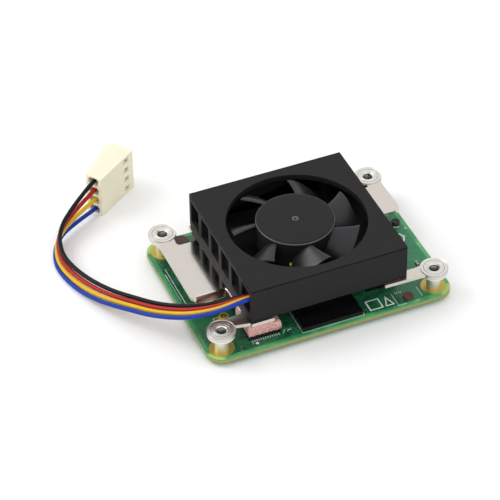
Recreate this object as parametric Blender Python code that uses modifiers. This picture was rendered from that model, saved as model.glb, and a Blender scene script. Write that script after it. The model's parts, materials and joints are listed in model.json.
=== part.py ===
"""A small computer board with its cooling module: the board, a nickel-plated bracket on four
threaded standoffs, and a square fan whose four wires end in a 2.54 mm pitch plug.

Metres, +Z up. The origin is the bottom centre of the board assembly, so z = 0 is the face of the
two board-to-board connectors that the board rests on. +X runs along the board's 55 mm side.
Only the fan's rotor moves: it turns about an upright axis close to the housing's middle.
"""

import math

import bmesh
import bpy
import numpy as np
from mathutils import Matrix, Vector

MM = 0.001
SEAT = 0.1 * MM  # gap left where one piece seats on another

# Board
BOARD_LENGTH = 55 * MM
BOARD_WIDTH = 40 * MM
BOARD_CORNER = 3.5 * MM
BOARD_BOTTOM = 1.0 * MM
BOARD_TOP = 2.2 * MM
HOLE_X = 24 * MM  # half of the 48 mm hole spacing
HOLE_Y = 16.5 * MM  # half of the 33 mm hole spacing
HOLE_RADIUS = 1.35 * MM
CHIP_FOOT = BOARD_TOP + SEAT

# Board-to-board connectors
CONNECTOR_LENGTH = 22.6 * MM
CONNECTOR_WIDTH = 3.0 * MM

# Bracket plate and standoffs
PLATE_TOP = 7.2 * MM
PLATE_THICKNESS = 0.8 * MM
PLATE_BOTTOM = PLATE_TOP - PLATE_THICKNESS
EYE_RADIUS = 3.0 * MM
EYE_HOLE_RADIUS = 1.85 * MM
STANDOFF_RADIUS = 1.5 * MM
FLANGE_RADIUS = 2.95 * MM
FLANGE_THICKNESS = 0.4 * MM
THREAD_RADIUS = 1.03 * MM
NECK_STANDS_OUT = 0.05 * MM  # the standoff's neck above the plate
THREAD_CHAMFER = 0.25 * MM
SCREW_HOLE_RADIUS = 0.75 * MM
SINK_RADIUS = 1.35 * MM
SINK_DEPTH = 0.45 * MM
LIP = ((-25.2, -5.8, 3.9), (-18.2, -5.0, 7.0))  # the edge turned down at the front of the left wing

# Fan housing
HOUSING_X = 17.45 * MM
HOUSING_Y = 17.0 * MM
HOUSING_BOTTOM = PLATE_TOP + SEAT
HOUSING_TOP = 15.6 * MM
WALL = 0.9 * MM
ROOF = 1.3 * MM
INLET_RADIUS = 14.87 * MM
SLOT_PITCH = 5.53 * MM
SLOT_WIDTH = 4.0 * MM
SLOT_BOTTOM = 8.8 * MM
SLOT_TOP = 14.1 * MM
SLOTS = 6
BASE_THICKNESS = 0.4 * MM  # the black sheet that closes the fan below
BASE_GAP = 0.15 * MM
BOSS_RADIUS = 1.4 * MM
BOSSES = ((-13.5, 15.0), (13.5, 15.0), (13.5, -15.0), (-9.5, -15.0))

# Rotor and motor
AXIS = Vector((-0.3, 0.2, 0)) * MM  # where the rotor's axis stands
HUB_RADIUS = 8.35 * MM
HUB_BORE = 7.3 * MM
HUB_TOP = 16.0 * MM
HUB_BOTTOM = 9.8 * MM
BLADES = 7
BLADE_TIP = 13.5 * MM
BLADE_TOP = 15.2 * MM
BLADE_BOTTOM = 10.6 * MM
BLADE_THICKNESS = 0.5 * MM
BLADE_SWEEP = math.radians(9)
BLADE_CHORD = math.radians(31)
BLADE_CURVE = 1.7  # a blade is nearly level at its leading edge and steep behind
FIRST_BLADE = math.radians(65)
TUBE_FOOT = 3.2 * MM
MOTOR_BOARD_RADIUS = 6.6 * MM
MOTOR_BOARD_BOTTOM = 8.0 * MM
MOTOR_BOARD_TOP = 8.8 * MM
CORE_BOTTOM = 10.2 * MM
CORE_TOP = 12.2 * MM
POLES = 4
COIL = ((3.15, -1.55, 9.3), (4.7, 1.55, 13.1))  # round the arm of the pole that lies along +X
COIL_CLEARANCE = 0.15 * MM

# Wires and plug
WIRE_DIAMETER = 0.96 * MM
PLUG_CORNER = Vector((-30.9, 35.1, 0)) * MM
PLUG_ANGLE = math.radians(34.9)
PLUG_LENGTH = 12.1 * MM
PLUG_HEIGHT = 10.16 * MM
PLUG_WIRE_END = 4.0 * MM
PLUG_MATING_END = 6.0 * MM
PIN_PITCH = 2.54 * MM
PIN_LINE = 2.0 * MM  # from the plug's flat face
CAVITY = 1.9 * MM
CONTACT = 1.6 * MM
WINDOW_MIDDLE = 9.3 * MM  # from the wire end
WINDOW_LENGTH = 2.2 * MM
WINDOW_HEIGHT = 1.3 * MM

# The ribbon of four wires: x, y, z of its middle, its tilt in degrees (0 flat, 90 on edge with the
# first wire on top) and the spacing of its wires, in mm. It runs from the motor board to the plug.
RIBBON = (
    (-5.1, -4.8, 8.4, 0, 1.02),
    (-7.3, -6.9, 8.4, 0, 1.02),
    (-9.8, -9.3, 8.7, 0, 1.02),
    (-12.4, -12.1, 9.9, -10, 1.0),
    (-15.3, -13.75, 11.2, -24, 1.0),
    (-18.0, -13.95, 11.5, -23, 1.0),
    (-23.5, -12.3, 9.6, -6, 1.03),
    (-28.7, -9.3, 7.9, 7, 1.06),
    (-33.3, -4.6, 6.2, 12, 1.06),
    (-37.0, 1.1, 4.6, 17, 1.06),
    (-40.3, 7.1, 3.0, 26, 1.05),
    (-42.8, 12.9, 2.0, 40, 1.05),
    (-44.5, 18.3, 1.8, 52, 1.05),
    (-45.0, 23.1, 1.9, 60, 1.05),
    (-43.9, 27.6, 2.4, 70, 1.06),
    (-41.6, 30.8, 3.1, 82, 1.2),
    (-38.5, 33.1, 3.8, 88, 1.6),
    (-35.1, 35.0, 4.6, 90, 2.1),
    (-32.0, 36.75, 5.08, 90, 2.54),
    (-29.8, 38.28, 5.08, 90, 2.54),
)
WIRES = (
    ("black", (0.02, 0.02, 0.022)),
    ("red", (0.62, 0.04, 0.03)),
    ("yellow", (0.85, 0.52, 0.04)),
    ("blue", (0.03, 0.09, 0.5)),
)

for old in list(bpy.data.objects):
    bpy.data.objects.remove(old)
PARTS = bpy.data.collections.new("cooled_computer_board")
CUTTERS = bpy.data.collections.new("cutters")
bpy.context.scene.collection.children.link(PARTS)
bpy.context.scene.collection.children.link(CUTTERS)


def material(name, colour, roughness, metallic=0.0):
    """A Principled material, made once for each name."""
    found = bpy.data.materials.get(name)
    if found:
        return found
    made = bpy.data.materials.new(name)
    made.use_nodes = True
    shader = made.node_tree.nodes["Principled BSDF"]
    shader.inputs["Base Color"].default_value = (*colour, 1)
    shader.inputs["Roughness"].default_value = roughness
    shader.inputs["Metallic"].default_value = metallic
    return made


NICKEL = material("nickel_plate", (0.72, 0.69, 0.65), 0.2, 1.0)
BLACK_PLASTIC = material("black_plastic", (0.022, 0.022, 0.023), 0.5)
CHIP = material("chip_epoxy", (0.015, 0.015, 0.016), 0.45)
SOLDER_MASK = material("green_solder_mask", (0.01, 0.13, 0.05), 0.35)
PINK_SILICONE = material("pink_thermal_pad", (0.62, 0.26, 0.27), 0.8)
BRASS = material("brass", (0.72, 0.52, 0.2), 0.3, 1.0)
STEEL = material("steel", (0.6, 0.6, 0.6), 0.3, 1.0)
COPPER = material("copper_winding", (0.66, 0.25, 0.1), 0.35, 1.0)
FERRITE = material("ferrite", (0.05, 0.03, 0.025), 0.6)
CREAM_NYLON = material("cream_nylon", (0.8, 0.76, 0.6), 0.5)
LAMINATION = material("lamination_steel", (0.35, 0.36, 0.38), 0.4, 1.0)


def mesh_object(name, mesh, look=None, smooth=30):
    """A new object in the parts collection or, with no material, a cutter."""
    made = bpy.data.objects.new(name, mesh)
    if look is None:
        CUTTERS.objects.link(made)
        made.hide_render = True
        made.display_type = "WIRE"
        return made
    PARTS.objects.link(made)
    mesh.materials.append(look)
    mesh.shade_smooth()
    mesh.set_sharp_from_angle(angle=math.radians(smooth))
    return made


def box(name, low, high, look=None, bevel=0.0):
    """A block between two corners, its edges bevelled where a width is given."""
    low, high = Vector(low), Vector(high)
    shape = bmesh.new()
    bmesh.ops.create_cube(shape, size=1)
    bmesh.ops.scale(shape, vec=high - low, verts=shape.verts)
    bmesh.ops.translate(shape, vec=(low + high) / 2, verts=shape.verts)
    mesh = bpy.data.meshes.new(name)
    shape.to_mesh(mesh)
    shape.free()
    made = mesh_object(name, mesh, look)
    if bevel:
        edge = made.modifiers.new("edges", "BEVEL")
        edge.width = bevel
        edge.segments = 1
    return made


def chip(name, x, y, length, width, height, look, bevel=0.0, foot=CHIP_FOOT):
    """A rectangular part standing on the board, its place and size in mm."""
    low = ((x - length / 2) * MM, (y - width / 2) * MM, foot)
    high = ((x + length / 2) * MM, (y + width / 2) * MM, foot + height * MM)
    return box(name, low, high, look, bevel)


def cylinder(name, x, y, bottom, top, radius, look=None, segments=24):
    """An upright cylinder."""
    shape = bmesh.new()
    bmesh.ops.create_cone(
        shape,
        cap_ends=True,
        segments=segments,
        radius1=radius,
        radius2=radius,
        depth=top - bottom,
        matrix=Matrix.Translation((x, y, (bottom + top) / 2)),
    )
    mesh = bpy.data.meshes.new(name)
    shape.to_mesh(mesh)
    shape.free()
    return mesh_object(name, mesh, look)


def turned(name, profile, look, x=0.0, y=0.0, segments=32, closed=True):
    """A shape turned about Z from (radius, height) points in mm that run down its outer side."""
    mesh = bpy.data.meshes.new(name)
    points = [(radius * MM, 0, height * MM) for radius, height in profile]
    count = len(points)
    edges = [(i, i + 1) for i in range(count - 1)]
    if closed:
        edges.append((count - 1, 0))
    mesh.from_pydata(points, edges, [])
    made = mesh_object(name, mesh, look)
    made.location = (x, y, 0)
    screw = made.modifiers.new("turn", "SCREW")
    screw.steps = segments
    screw.render_steps = segments
    screw.use_merge_vertices = True
    screw.merge_threshold = 0.00001
    screw.use_smooth_shade = True
    return made


def arc(centre, radius, start, end, steps):
    """Points in mm along an arc, its ends included, the angles in degrees."""
    angles = np.radians(np.linspace(start, end, steps + 1))
    return [(centre[0] + radius * math.cos(a), centre[1] + radius * math.sin(a)) for a in angles]


def rounded(corner, radius, start, steps=4):
    """An outer quarter turn of an anticlockwise outline, at the corner where it would be square."""
    turn = math.radians(start + 45)
    reach = radius * math.sqrt(2)
    centre = (corner[0] - reach * math.cos(turn), corner[1] - reach * math.sin(turn))
    return arc(centre, radius, start, start + 90, steps)


def flat(name, outlines, bottom, top, look=None):
    """A flat piece cut from outlines in mm, the inner ones holes, made a mesh so it can be cut."""
    curve = bpy.data.curves.new(name, "CURVE")
    curve.dimensions = "2D"
    curve.fill_mode = "BOTH"
    curve.extrude = (top - bottom) / 2
    for points in outlines:
        spline = curve.splines.new("POLY")
        spline.points.add(len(points) - 1)
        for target, (x, y) in zip(spline.points, points):
            target.co = (x * MM, y * MM, 0, 1)
        spline.use_cyclic_u = True
    drawn = bpy.data.objects.new(name, curve)
    bpy.context.scene.collection.objects.link(drawn)
    drawn.location.z = (bottom + top) / 2
    bpy.context.view_layer.update()
    graph = bpy.context.evaluated_depsgraph_get()
    mesh = bpy.data.meshes.new_from_object(drawn.evaluated_get(graph))
    place = drawn.matrix_world.copy()
    bpy.data.objects.remove(drawn)
    shape = bmesh.new()
    shape.from_mesh(mesh)
    bmesh.ops.remove_doubles(shape, verts=shape.verts, dist=0.000001)
    bmesh.ops.recalc_face_normals(shape, faces=shape.faces)
    shape.to_mesh(mesh)
    shape.free()
    mesh.materials.clear()
    made = mesh_object(name, mesh, look)
    made.matrix_world = place
    return made


def combine(piece, other, operation="DIFFERENCE"):
    """Cuts the other shape from the piece, or joins it on."""
    step = piece.modifiers.new(operation.lower(), "BOOLEAN")
    step.operation = operation
    step.object = other
    step.solver = "EXACT"


def make_board():
    half_x = BOARD_LENGTH / MM / 2
    half_y = BOARD_WIDTH / MM / 2
    corner = BOARD_CORNER / MM
    outline = []
    for index, (x, y) in enumerate(((1, 1), (-1, 1), (-1, -1), (1, -1))):
        outline += rounded((x * half_x, y * half_y), corner, 90 * index, 6)
    holes = [
        arc((x * HOLE_X / MM, y * HOLE_Y / MM), HOLE_RADIUS / MM, 0, 345, 23)
        for x in (-1, 1)
        for y in (-1, 1)
    ]
    flat("computer_board", [outline, *holes], BOARD_BOTTOM, BOARD_TOP, SOLDER_MASK)


def make_board_connectors():
    top = BOARD_BOTTOM - SEAT
    for name, side in (("front", -1), ("back", 1)):
        y = side * HOLE_Y
        half_x, half_y = CONNECTOR_LENGTH / 2, CONNECTOR_WIDTH / 2
        body = box(
            f"board_connector_{name}", (-half_x, y - half_y, 0), (half_x, y + half_y, top), CHIP
        )
        groove = box(
            f"groove_{name}",
            (-half_x + 0.9 * MM, y - 0.55 * MM, -MM),
            (half_x - 0.9 * MM, y + 0.55 * MM, 0.55 * MM),
        )
        combine(body, groove)


def make_board_parts():
    chip("processor_substrate", 0, 0.2, 15.4, 15.4, 0.6, SOLDER_MASK)
    lid_foot = CHIP_FOOT + 0.6 * MM + SEAT
    chip("processor_lid", 0, 0.2, 13.2, 13.2, 1.0, NICKEL, 0.15 * MM, lid_foot)
    chip("memory_chip", 0, -14.1, 13.6, 9.4, 0.8, CHIP)
    chip("storage_chip", 14.4, 3.0, 11.5, 13.0, 1.0, CHIP)
    chip("wireless_shield", -18.4, 2.1, 10.4, 12.6, 1.7, NICKEL, 0.2 * MM)
    chip("power_controller", -14.6, -13.5, 7.0, 7.0, 0.8, CHIP)
    chip("network_chip", 13.6, -9.4, 7.0, 7.0, 0.8, CHIP)
    chip("clock_crystal", 10.6, 13.4, 3.2, 2.5, 0.7, STEEL)
    chip("antenna_connector", -20.4, -8.9, 2.6, 2.6, 0.5, BRASS)
    collar = cylinder(
        "collar", -20.4 * MM, -8.9 * MM, CHIP_FOOT + 0.4 * MM, CHIP_FOOT + 1.2 * MM, MM, None, 16
    )
    combine(bpy.data.objects["antenna_connector"], collar, "UNION")
    for name, x, y, radius, height in (
        ("rear_inductor", -19.8, 16.6, 1.7, 1.5),
        ("front_inductor", 17.6, -17.7, 1.1, 0.5),
        ("side_inductor", 25.2, 4.6, 0.9, 0.9),
    ):
        top = CHIP_FOOT + height * MM
        cylinder(name, x * MM, y * MM, CHIP_FOOT, top, radius * MM, FERRITE, 20)


def make_thermal_pads():
    top = (PLATE_BOTTOM - SEAT) / MM
    for name, low, high in (
        ("processor_pad", (-6.4, -6.2, 4.1), (6.4, 6.6, top)),
        ("power_pad", (-18.3, -17.1, 3.2), (-10.8, -9.9, top)),
        ("wireless_pad", (-22.6, -3.2, 4.1), (-14.4, 7.4, top)),
        ("storage_pad", (9.4, -2.6, 3.4), (19.4, 8.6, top)),
    ):
        box(name, Vector(low) * MM, Vector(high) * MM, PINK_SILICONE)


def plate_outline():
    """The bracket seen from above, anticlockwise from the front notch, in mm."""
    eye, hole_x, hole_y = EYE_RADIUS / MM, HOLE_X / MM, HOLE_Y / MM
    edge = 18.0  # the plate stands this far out beside the housing
    points = [(-12.6, -17.5), (-12.6, -15.6), (12.3, -15.6), (12.3, -17.6), (20.4, -17.75)]
    points += arc((hole_x, -hole_y), eye, -152, 146, 18)
    points += [(20.3, -15.05), (edge, -15.0), (edge, 3.4)]
    points += rounded((25.75, 3.4), 1.2, -90)
    points += [(25.75, 13.2)]
    points += arc((hole_x, hole_y), eye, -38, 232, 17)
    points += [(22.6, 13.7), (22.4, 13.0), (edge, 13.0), (edge, 16.6), (-edge, 16.6)]
    points += arc((-edge - 0.8, 12.3), 0.8, 0, -90, 3)
    points += arc((-21.6, 12.4), 0.9, 270, 180, 3)
    points += arc((-hole_x, hole_y), eye, -57, 222, 17)
    points += [(-26.0, 13.2)]
    points += rounded((-26.0, -5.8), 1.2, 180, 5)
    points += arc((-edge - 0.9, -6.7), 0.9, 90, 0, 3)
    points += [(-edge, -13.2), (-edge - 0.4, -13.6)]
    points += arc((-hole_x, -hole_y), eye, 66, 362, 18)
    points += [(-17.8, -17.0), (-17.6, -17.5)]
    return points


def make_bracket():
    plate = flat("bracket_plate", [plate_outline()], PLATE_BOTTOM, PLATE_TOP, NICKEL)
    low, high = LIP
    lip = box("front_lip", Vector(low) * MM, Vector(high) * MM)
    combine(plate, lip, "UNION")
    for x in (-HOLE_X, HOLE_X):
        for y in (-HOLE_Y, HOLE_Y):
            hole = cylinder("eye_hole", x, y, 0, PLATE_TOP + MM, EYE_HOLE_RADIUS)
            combine(plate, hole)
    for x, y in BOSSES:
        for name, top, radius in (
            ("screw_hole", PLATE_TOP + MM, SCREW_HOLE_RADIUS),
            ("screw_sink", PLATE_BOTTOM + SINK_DEPTH, SINK_RADIUS),
        ):
            combine(plate, cylinder(name, x * MM, y * MM, 0, top, radius, None, 16))


def make_standoffs():
    foot = (BOARD_TOP + SEAT) / MM
    shoulder = (PLATE_BOTTOM - SEAT) / MM
    under = shoulder - FLANGE_THICKNESS / MM
    top = (PLATE_TOP + NECK_STANDS_OUT) / MM
    bore, outer, flange = THREAD_RADIUS / MM, STANDOFF_RADIUS / MM, FLANGE_RADIUS / MM
    neck = (EYE_HOLE_RADIUS - SEAT) / MM
    chamfer = THREAD_CHAMFER / MM
    profile = (
        (bore + chamfer, top),
        (neck, top),
        (neck, shoulder),
        (flange, shoulder),
        (flange, under),
        (outer, under),
        (outer, foot),
        (bore, foot),
        (bore, top - chamfer),
    )
    for row, y in (("front", -HOLE_Y), ("rear", HOLE_Y)):
        for side, x in (("left", -HOLE_X), ("right", HOLE_X)):
            turned(f"standoff_{row}_{side}", profile, NICKEL, x, y, 20)


def make_housing():
    low = (-HOUSING_X, -HOUSING_Y, HOUSING_BOTTOM)
    high = (HOUSING_X, HOUSING_Y, HOUSING_TOP)
    housing = box("fan_housing", low, high, BLACK_PLASTIC)
    inner_x, inner_y = HOUSING_X - WALL, HOUSING_Y - WALL
    roof = HOUSING_TOP - ROOF
    cavity = box("cavity", (-inner_x, -inner_y, 0), (inner_x, inner_y, roof))
    combine(housing, cavity)
    for x, y in BOSSES:
        boss = cylinder(
            "boss", x * MM, y * MM, HOUSING_BOTTOM, roof + 0.3 * MM, BOSS_RADIUS, None, 12
        )
        combine(housing, boss, "UNION")
        pilot = cylinder("pilot", x * MM, y * MM, 0, 12.5 * MM, 0.6 * MM, None, 8)
        combine(housing, pilot)
    inlet = cylinder("inlet", 0, 0, roof - MM, HOUSING_TOP + MM, INLET_RADIUS, None, 48)
    combine(housing, inlet)
    first = -SLOT_PITCH * (SLOTS - 1) / 2
    for index in range(SLOTS):
        middle = first + SLOT_PITCH * index
        at_end = index in (0, SLOTS - 1)
        half = SLOT_WIDTH / 2 + 0.1 * MM * at_end
        middle += math.copysign(0.125 * MM, middle) * at_end
        low = (-HOUSING_X - MM, middle - half, SLOT_BOTTOM)
        high = (-inner_x + MM, middle + half, SLOT_TOP)
        combine(housing, box("slot", low, high))


def make_fan_base():
    """The sheet under the rotor, open round the bearing tube's foot and the housing's bosses."""
    half_x, half_y = HOUSING_X - WALL - BASE_GAP, HOUSING_Y - WALL - BASE_GAP
    low = (-half_x, -half_y, HOUSING_BOTTOM)
    base = box("fan_base", low, (half_x, half_y, HOUSING_BOTTOM + BASE_THICKNESS), BLACK_PLASTIC)
    foot = cylinder("foot", AXIS.x, AXIS.y, 0, HOUSING_TOP, TUBE_FOOT + BASE_GAP, None, 24)
    combine(base, foot)
    for x, y in BOSSES:
        radius = BOSS_RADIUS + BASE_GAP
        combine(base, cylinder("boss", x * MM, y * MM, 0, HOUSING_TOP, radius, None, 12))


def make_housing_screws():
    head = (PLATE_BOTTOM + 0.02 * MM) / MM
    profile = (
        (0.0, 11.8),
        (0.4, 11.8),
        (0.48, 11.4),
        (0.48, head + 0.38),
        (1.22, head + 0.38),
        (1.22, head),
        (0.0, head),
    )
    for index, (x, y) in enumerate(BOSSES, 1):
        turned(f"housing_screw_{index}", profile, STEEL, x * MM, y * MM, 12, False)


def make_bearing():
    """The brass tube that carries the stator, shut at its foot, and the sleeve that the shaft turns in."""
    foot = TUBE_FOOT / MM
    tube = (
        (1.95, 13.6),
        (1.95, 7.9),
        (foot, 7.9),
        (foot, 7.3),
        (0.0, 7.3),
        (0.0, 7.7),
        (1.45, 7.7),
        (1.45, 13.6),
    )
    sleeve = ((1.38, 13.3), (1.38, 8.5), (0.6, 8.5), (0.6, 13.3))
    turned("bearing_tube", tube, BRASS, segments=20)
    turned("sleeve_bearing", sleeve, BRASS, segments=20)


def make_rotor():
    shaft = ((0.0, 15.1), (0.5, 15.1), (0.5, 7.9), (0.3, 7.8), (0.0, 7.8))
    clip = ((1.2, 8.35), (1.2, 8.05), (0.58, 8.05), (0.58, 8.35))
    yoke = ((7.2, 14.6), (7.2, 9.9), (6.95, 9.9), (6.95, 14.35), (2.0, 14.35), (2.0, 14.6))
    magnet = ((6.85, 13.4), (6.85, 9.9), (6.05, 9.9), (6.05, 13.4))
    turned("rotor_shaft", shaft, STEEL, segments=16, closed=False)
    turned("shaft_clip", clip, CREAM_NYLON, segments=16)
    turned("rotor_yoke", yoke, STEEL, segments=32)
    turned("rotor_magnet", magnet, FERRITE, segments=32)
    hub_radius, bore = HUB_RADIUS / MM, HUB_BORE / MM
    top, bottom = HUB_TOP / MM, HUB_BOTTOM / MM
    profile = (
        (0.0, top - 0.15),
        (0.9, top - 0.15),
        (1.1, top),
        (hub_radius - 0.75, top),
        (hub_radius - 0.25, top - 0.12),
        (hub_radius, top - 0.45),
        (hub_radius, bottom),
        (bore, bottom),
        (bore, 14.7),
        (1.6, 14.7),
        (1.6, 13.8),
        (0.6, 13.8),
        (0.6, 15.2),
        (0.0, 15.2),
    )
    hub = turned("fan_rotor", profile, BLACK_PLASTIC, segments=36, closed=False)
    blade_mesh = blade_surface()
    for index in range(BLADES):
        blade = mesh_object("blade", blade_mesh)
        blade.rotation_euler.z = FIRST_BLADE + math.tau * index / BLADES
        shell = blade.modifiers.new("thickness", "SOLIDIFY")
        shell.thickness = BLADE_THICKNESS
        shell.offset = 0
        combine(hub, blade, "UNION")


def blade_surface():
    """The middle surface of one blade: its leading edge is on top and swept forward at the tip."""
    across, along = 4, 6
    root = HUB_RADIUS - 0.35 * MM
    points, faces = [], []
    for i in range(across + 1):
        out = i / across
        radius = root + (BLADE_TIP - root) * out
        for j in range(along + 1):
            back = j / along
            angle = BLADE_SWEEP * out - BLADE_CHORD * back
            height = BLADE_TOP - (BLADE_TOP - BLADE_BOTTOM) * back**BLADE_CURVE
            points.append((radius * math.cos(angle), radius * math.sin(angle), height))
    for i in range(across):
        for j in range(along):
            first = i * (along + 1) + j
            faces.append((first, first + 1, first + along + 2, first + along + 1))
    mesh = bpy.data.meshes.new("blade")
    mesh.from_pydata(points, [], faces)
    return mesh


def make_stator():
    hub, arm, shoe, tip = 3.0, 0.8, 4.9, 5.6
    outline = []
    for pole in range(POLES):
        turn = 360 * pole / POLES
        inner = math.degrees(math.asin(arm / hub))
        outer = math.degrees(math.asin(arm / shoe))
        outline += arc((0, 0), hub, turn - 360 / POLES + inner, turn - inner, 3)
        outline += arc((0, 0), shoe, turn - outer, turn - 34, 3)
        outline += arc((0, 0), tip, turn - 34, turn + 34, 8)
        outline += arc((0, 0), shoe, turn + 34, turn + outer, 3)
    bore = arc((0, 0), 2.05, 0, 345, 23)
    flat("stator_core", [outline, bore], CORE_BOTTOM, CORE_TOP, LAMINATION)
    for pole in range(POLES):
        turn = Matrix.Rotation(math.tau * pole / POLES, 4, "Z")
        low, high = COIL
        coil = box(f"stator_coil_{pole + 1}", Vector(low) * MM, Vector(high) * MM, COPPER, 0.4 * MM)
        half = arm * MM + COIL_CLEARANCE
        window = box(
            "window",
            (2 * MM, -half, CORE_BOTTOM - COIL_CLEARANCE),
            (6 * MM, half, CORE_TOP + COIL_CLEARANCE),
        )
        coil.matrix_world = turn
        window.matrix_world = turn
        combine(coil, window)
    ring = [arc((0, 0), MOTOR_BOARD_RADIUS / MM, 0, 350, 35), arc((0, 0), 2.1, 0, 345, 23)]
    flat("motor_board", ring, MOTOR_BOARD_BOTTOM, MOTOR_BOARD_TOP, SOLDER_MASK)
    chip("hall_driver", -3.4, 3.4, 2.2, 1.6, 0.35, CHIP, 0, MOTOR_BOARD_TOP + SEAT)


def on_axis(*makers):
    """Makes pieces about the origin, then moves them and their cutters onto the rotor's axis."""
    before = set(bpy.data.objects)
    for make in makers:
        make()
    for made in set(bpy.data.objects) - before:
        made.location += AXIS


def smooth_rows(rows, steps):
    """Rows read from a Catmull-Rom curve through the given rows, the last row included."""
    known = np.array(rows, float)
    ends = np.vstack([2 * known[0] - known[1], known, 2 * known[-1] - known[-2]])
    found = []
    for before, start, end, after in zip(ends, ends[1:], ends[2:], ends[3:]):
        for t in np.arange(steps) / steps:
            found.append(
                start
                + 0.5 * (end - before) * t
                + (before - 2.5 * start + 2 * end - 0.5 * after) * t * t
                + (1.5 * start - 0.5 * before - 1.5 * end + 0.5 * after) * t**3
            )
    return np.array(found + [ends[-2]])


def wire_paths(steps=2):
    """The four wires' centre lines, side by side across the ribbon, in metres."""
    rows = smooth_rows(RIBBON, steps)
    middle, tilt, pitch = rows[:, :3], np.radians(rows[:, 3:4]), rows[:, 4:5]
    run = np.gradient(middle, axis=0)[:, :2]
    run /= np.linalg.norm(run, axis=1)[:, None]
    flat_across = np.column_stack([-run[:, 1], run[:, 0], np.zeros(len(run))])
    across = np.cos(tilt) * flat_across - np.sin(tilt) * np.array([0, 0, 1.0])
    count = len(WIRES)
    return [(middle + (i - (count - 1) / 2) * pitch * across) * MM for i in range(count)]


def make_wires():
    for (name, colour), path in zip(WIRES, wire_paths()):
        curve = bpy.data.curves.new(f"wire_{name}", "CURVE")
        curve.dimensions = "3D"
        curve.bevel_depth = WIRE_DIAMETER / 2
        curve.bevel_resolution = 2
        curve.use_fill_caps = True
        spline = curve.splines.new("POLY")
        spline.points.add(len(path) - 1)
        for target, point in zip(spline.points, path):
            target.co = (*point, 1)
        curve.materials.append(material(f"wire_{name}", colour, 0.45))
        PARTS.objects.link(bpy.data.objects.new(f"wire_{name}", curve))


def make_plug():
    """The plug lies on its end face, its row of four pins upright."""
    place = Matrix.Translation(PLUG_CORNER) @ Matrix.Rotation(PLUG_ANGLE, 4, "Z")
    length, near, far = PLUG_LENGTH / MM, PLUG_WIRE_END / MM, PLUG_MATING_END / MM
    outline = [(0, 0), (length, 0), (length, far), (length - 2.4, far), (0.6, near), (0, near)]
    plug = flat("fan_plug", [outline], 0, PLUG_HEIGHT, CREAM_NYLON)
    plug.matrix_world = place @ plug.matrix_world
    for pin in range(len(WIRES)):
        level = PLUG_HEIGHT / 2 + (1.5 - pin) * PIN_PITCH
        half = CAVITY / 2
        cavity = pin_box("cavity", -MM, PLUG_LENGTH + MM, half, level, place)
        combine(plug, cavity)
        low = (WINDOW_MIDDLE - WINDOW_LENGTH / 2, -MM, level - WINDOW_HEIGHT / 2)
        high = (WINDOW_MIDDLE + WINDOW_LENGTH / 2, PIN_LINE - half + 0.2 * MM, level + WINDOW_HEIGHT / 2)
        window = box("window", low, high)
        window.matrix_world = place
        combine(plug, window)
        make_contact(pin + 1, place, level)


def pin_box(name, start, end, half, level, place, look=None):
    """A square bar along one pin's line, from start to end along the plug."""
    bar = box(name, (start, PIN_LINE - half, level - half), (end, PIN_LINE + half, level + half), look)
    bar.matrix_world = place
    return bar


def make_contact(number, place, level):
    """A crimp contact: a square socket for the pin, and a barrel for the wire."""
    contact = pin_box(
        f"plug_contact_{number}", 5.2 * MM, 11.4 * MM, CONTACT / 2, level, place, BRASS
    )
    combine(contact, pin_box("barrel", 3.0 * MM, 5.4 * MM, 0.5 * MM, level, place), "UNION")
    combine(contact, pin_box("socket", 6.2 * MM, 13.0 * MM, 0.4 * MM, level, place))


make_board()
make_board_connectors()
make_board_parts()
make_thermal_pads()
make_bracket()
make_standoffs()
make_housing()
make_housing_screws()
make_fan_base()
on_axis(make_bearing, make_rotor, make_stator)
make_wires()
make_plug()
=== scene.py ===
"""The looks of the cooled computer board: its camera and light, its wires, and a finely made piece
for each CAD node that shows. Shapes are drawn in millimetres and become metres in make().
"""

import json
import math
import random

import bmesh
import bpy
import numpy as np
from mathutils import Matrix, Vector, noise


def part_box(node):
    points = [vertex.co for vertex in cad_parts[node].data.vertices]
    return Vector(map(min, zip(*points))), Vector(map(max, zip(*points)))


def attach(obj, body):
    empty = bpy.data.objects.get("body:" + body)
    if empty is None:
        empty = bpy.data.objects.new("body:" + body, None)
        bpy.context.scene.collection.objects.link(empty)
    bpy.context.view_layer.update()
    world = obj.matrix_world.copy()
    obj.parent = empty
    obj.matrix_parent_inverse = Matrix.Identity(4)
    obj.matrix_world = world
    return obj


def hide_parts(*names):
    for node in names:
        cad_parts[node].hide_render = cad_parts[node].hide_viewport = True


MM = 0.001
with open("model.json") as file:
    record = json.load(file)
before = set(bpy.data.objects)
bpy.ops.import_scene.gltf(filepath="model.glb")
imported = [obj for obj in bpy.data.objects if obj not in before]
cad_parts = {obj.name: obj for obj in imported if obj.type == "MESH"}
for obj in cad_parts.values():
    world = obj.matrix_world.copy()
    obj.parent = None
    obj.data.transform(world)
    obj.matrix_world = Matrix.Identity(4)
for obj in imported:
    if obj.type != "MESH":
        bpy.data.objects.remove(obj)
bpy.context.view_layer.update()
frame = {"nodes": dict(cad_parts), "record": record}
scene = bpy.context.scene
scene.view_settings.view_transform = "Standard"


def span(node):
    """The lowest and highest corner of a CAD node, in mm."""
    low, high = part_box(node)
    return low / MM, high / MM


# ---------------------------------------------------------------- sizes taken from the frame

board_low, board_high = span("computer_board")
housing_low, housing_high = span("fan_housing")
post_low, post_high = span("standoff_rear_right")
ROTOR_TOP = span("fan_rotor")[1].z

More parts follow.
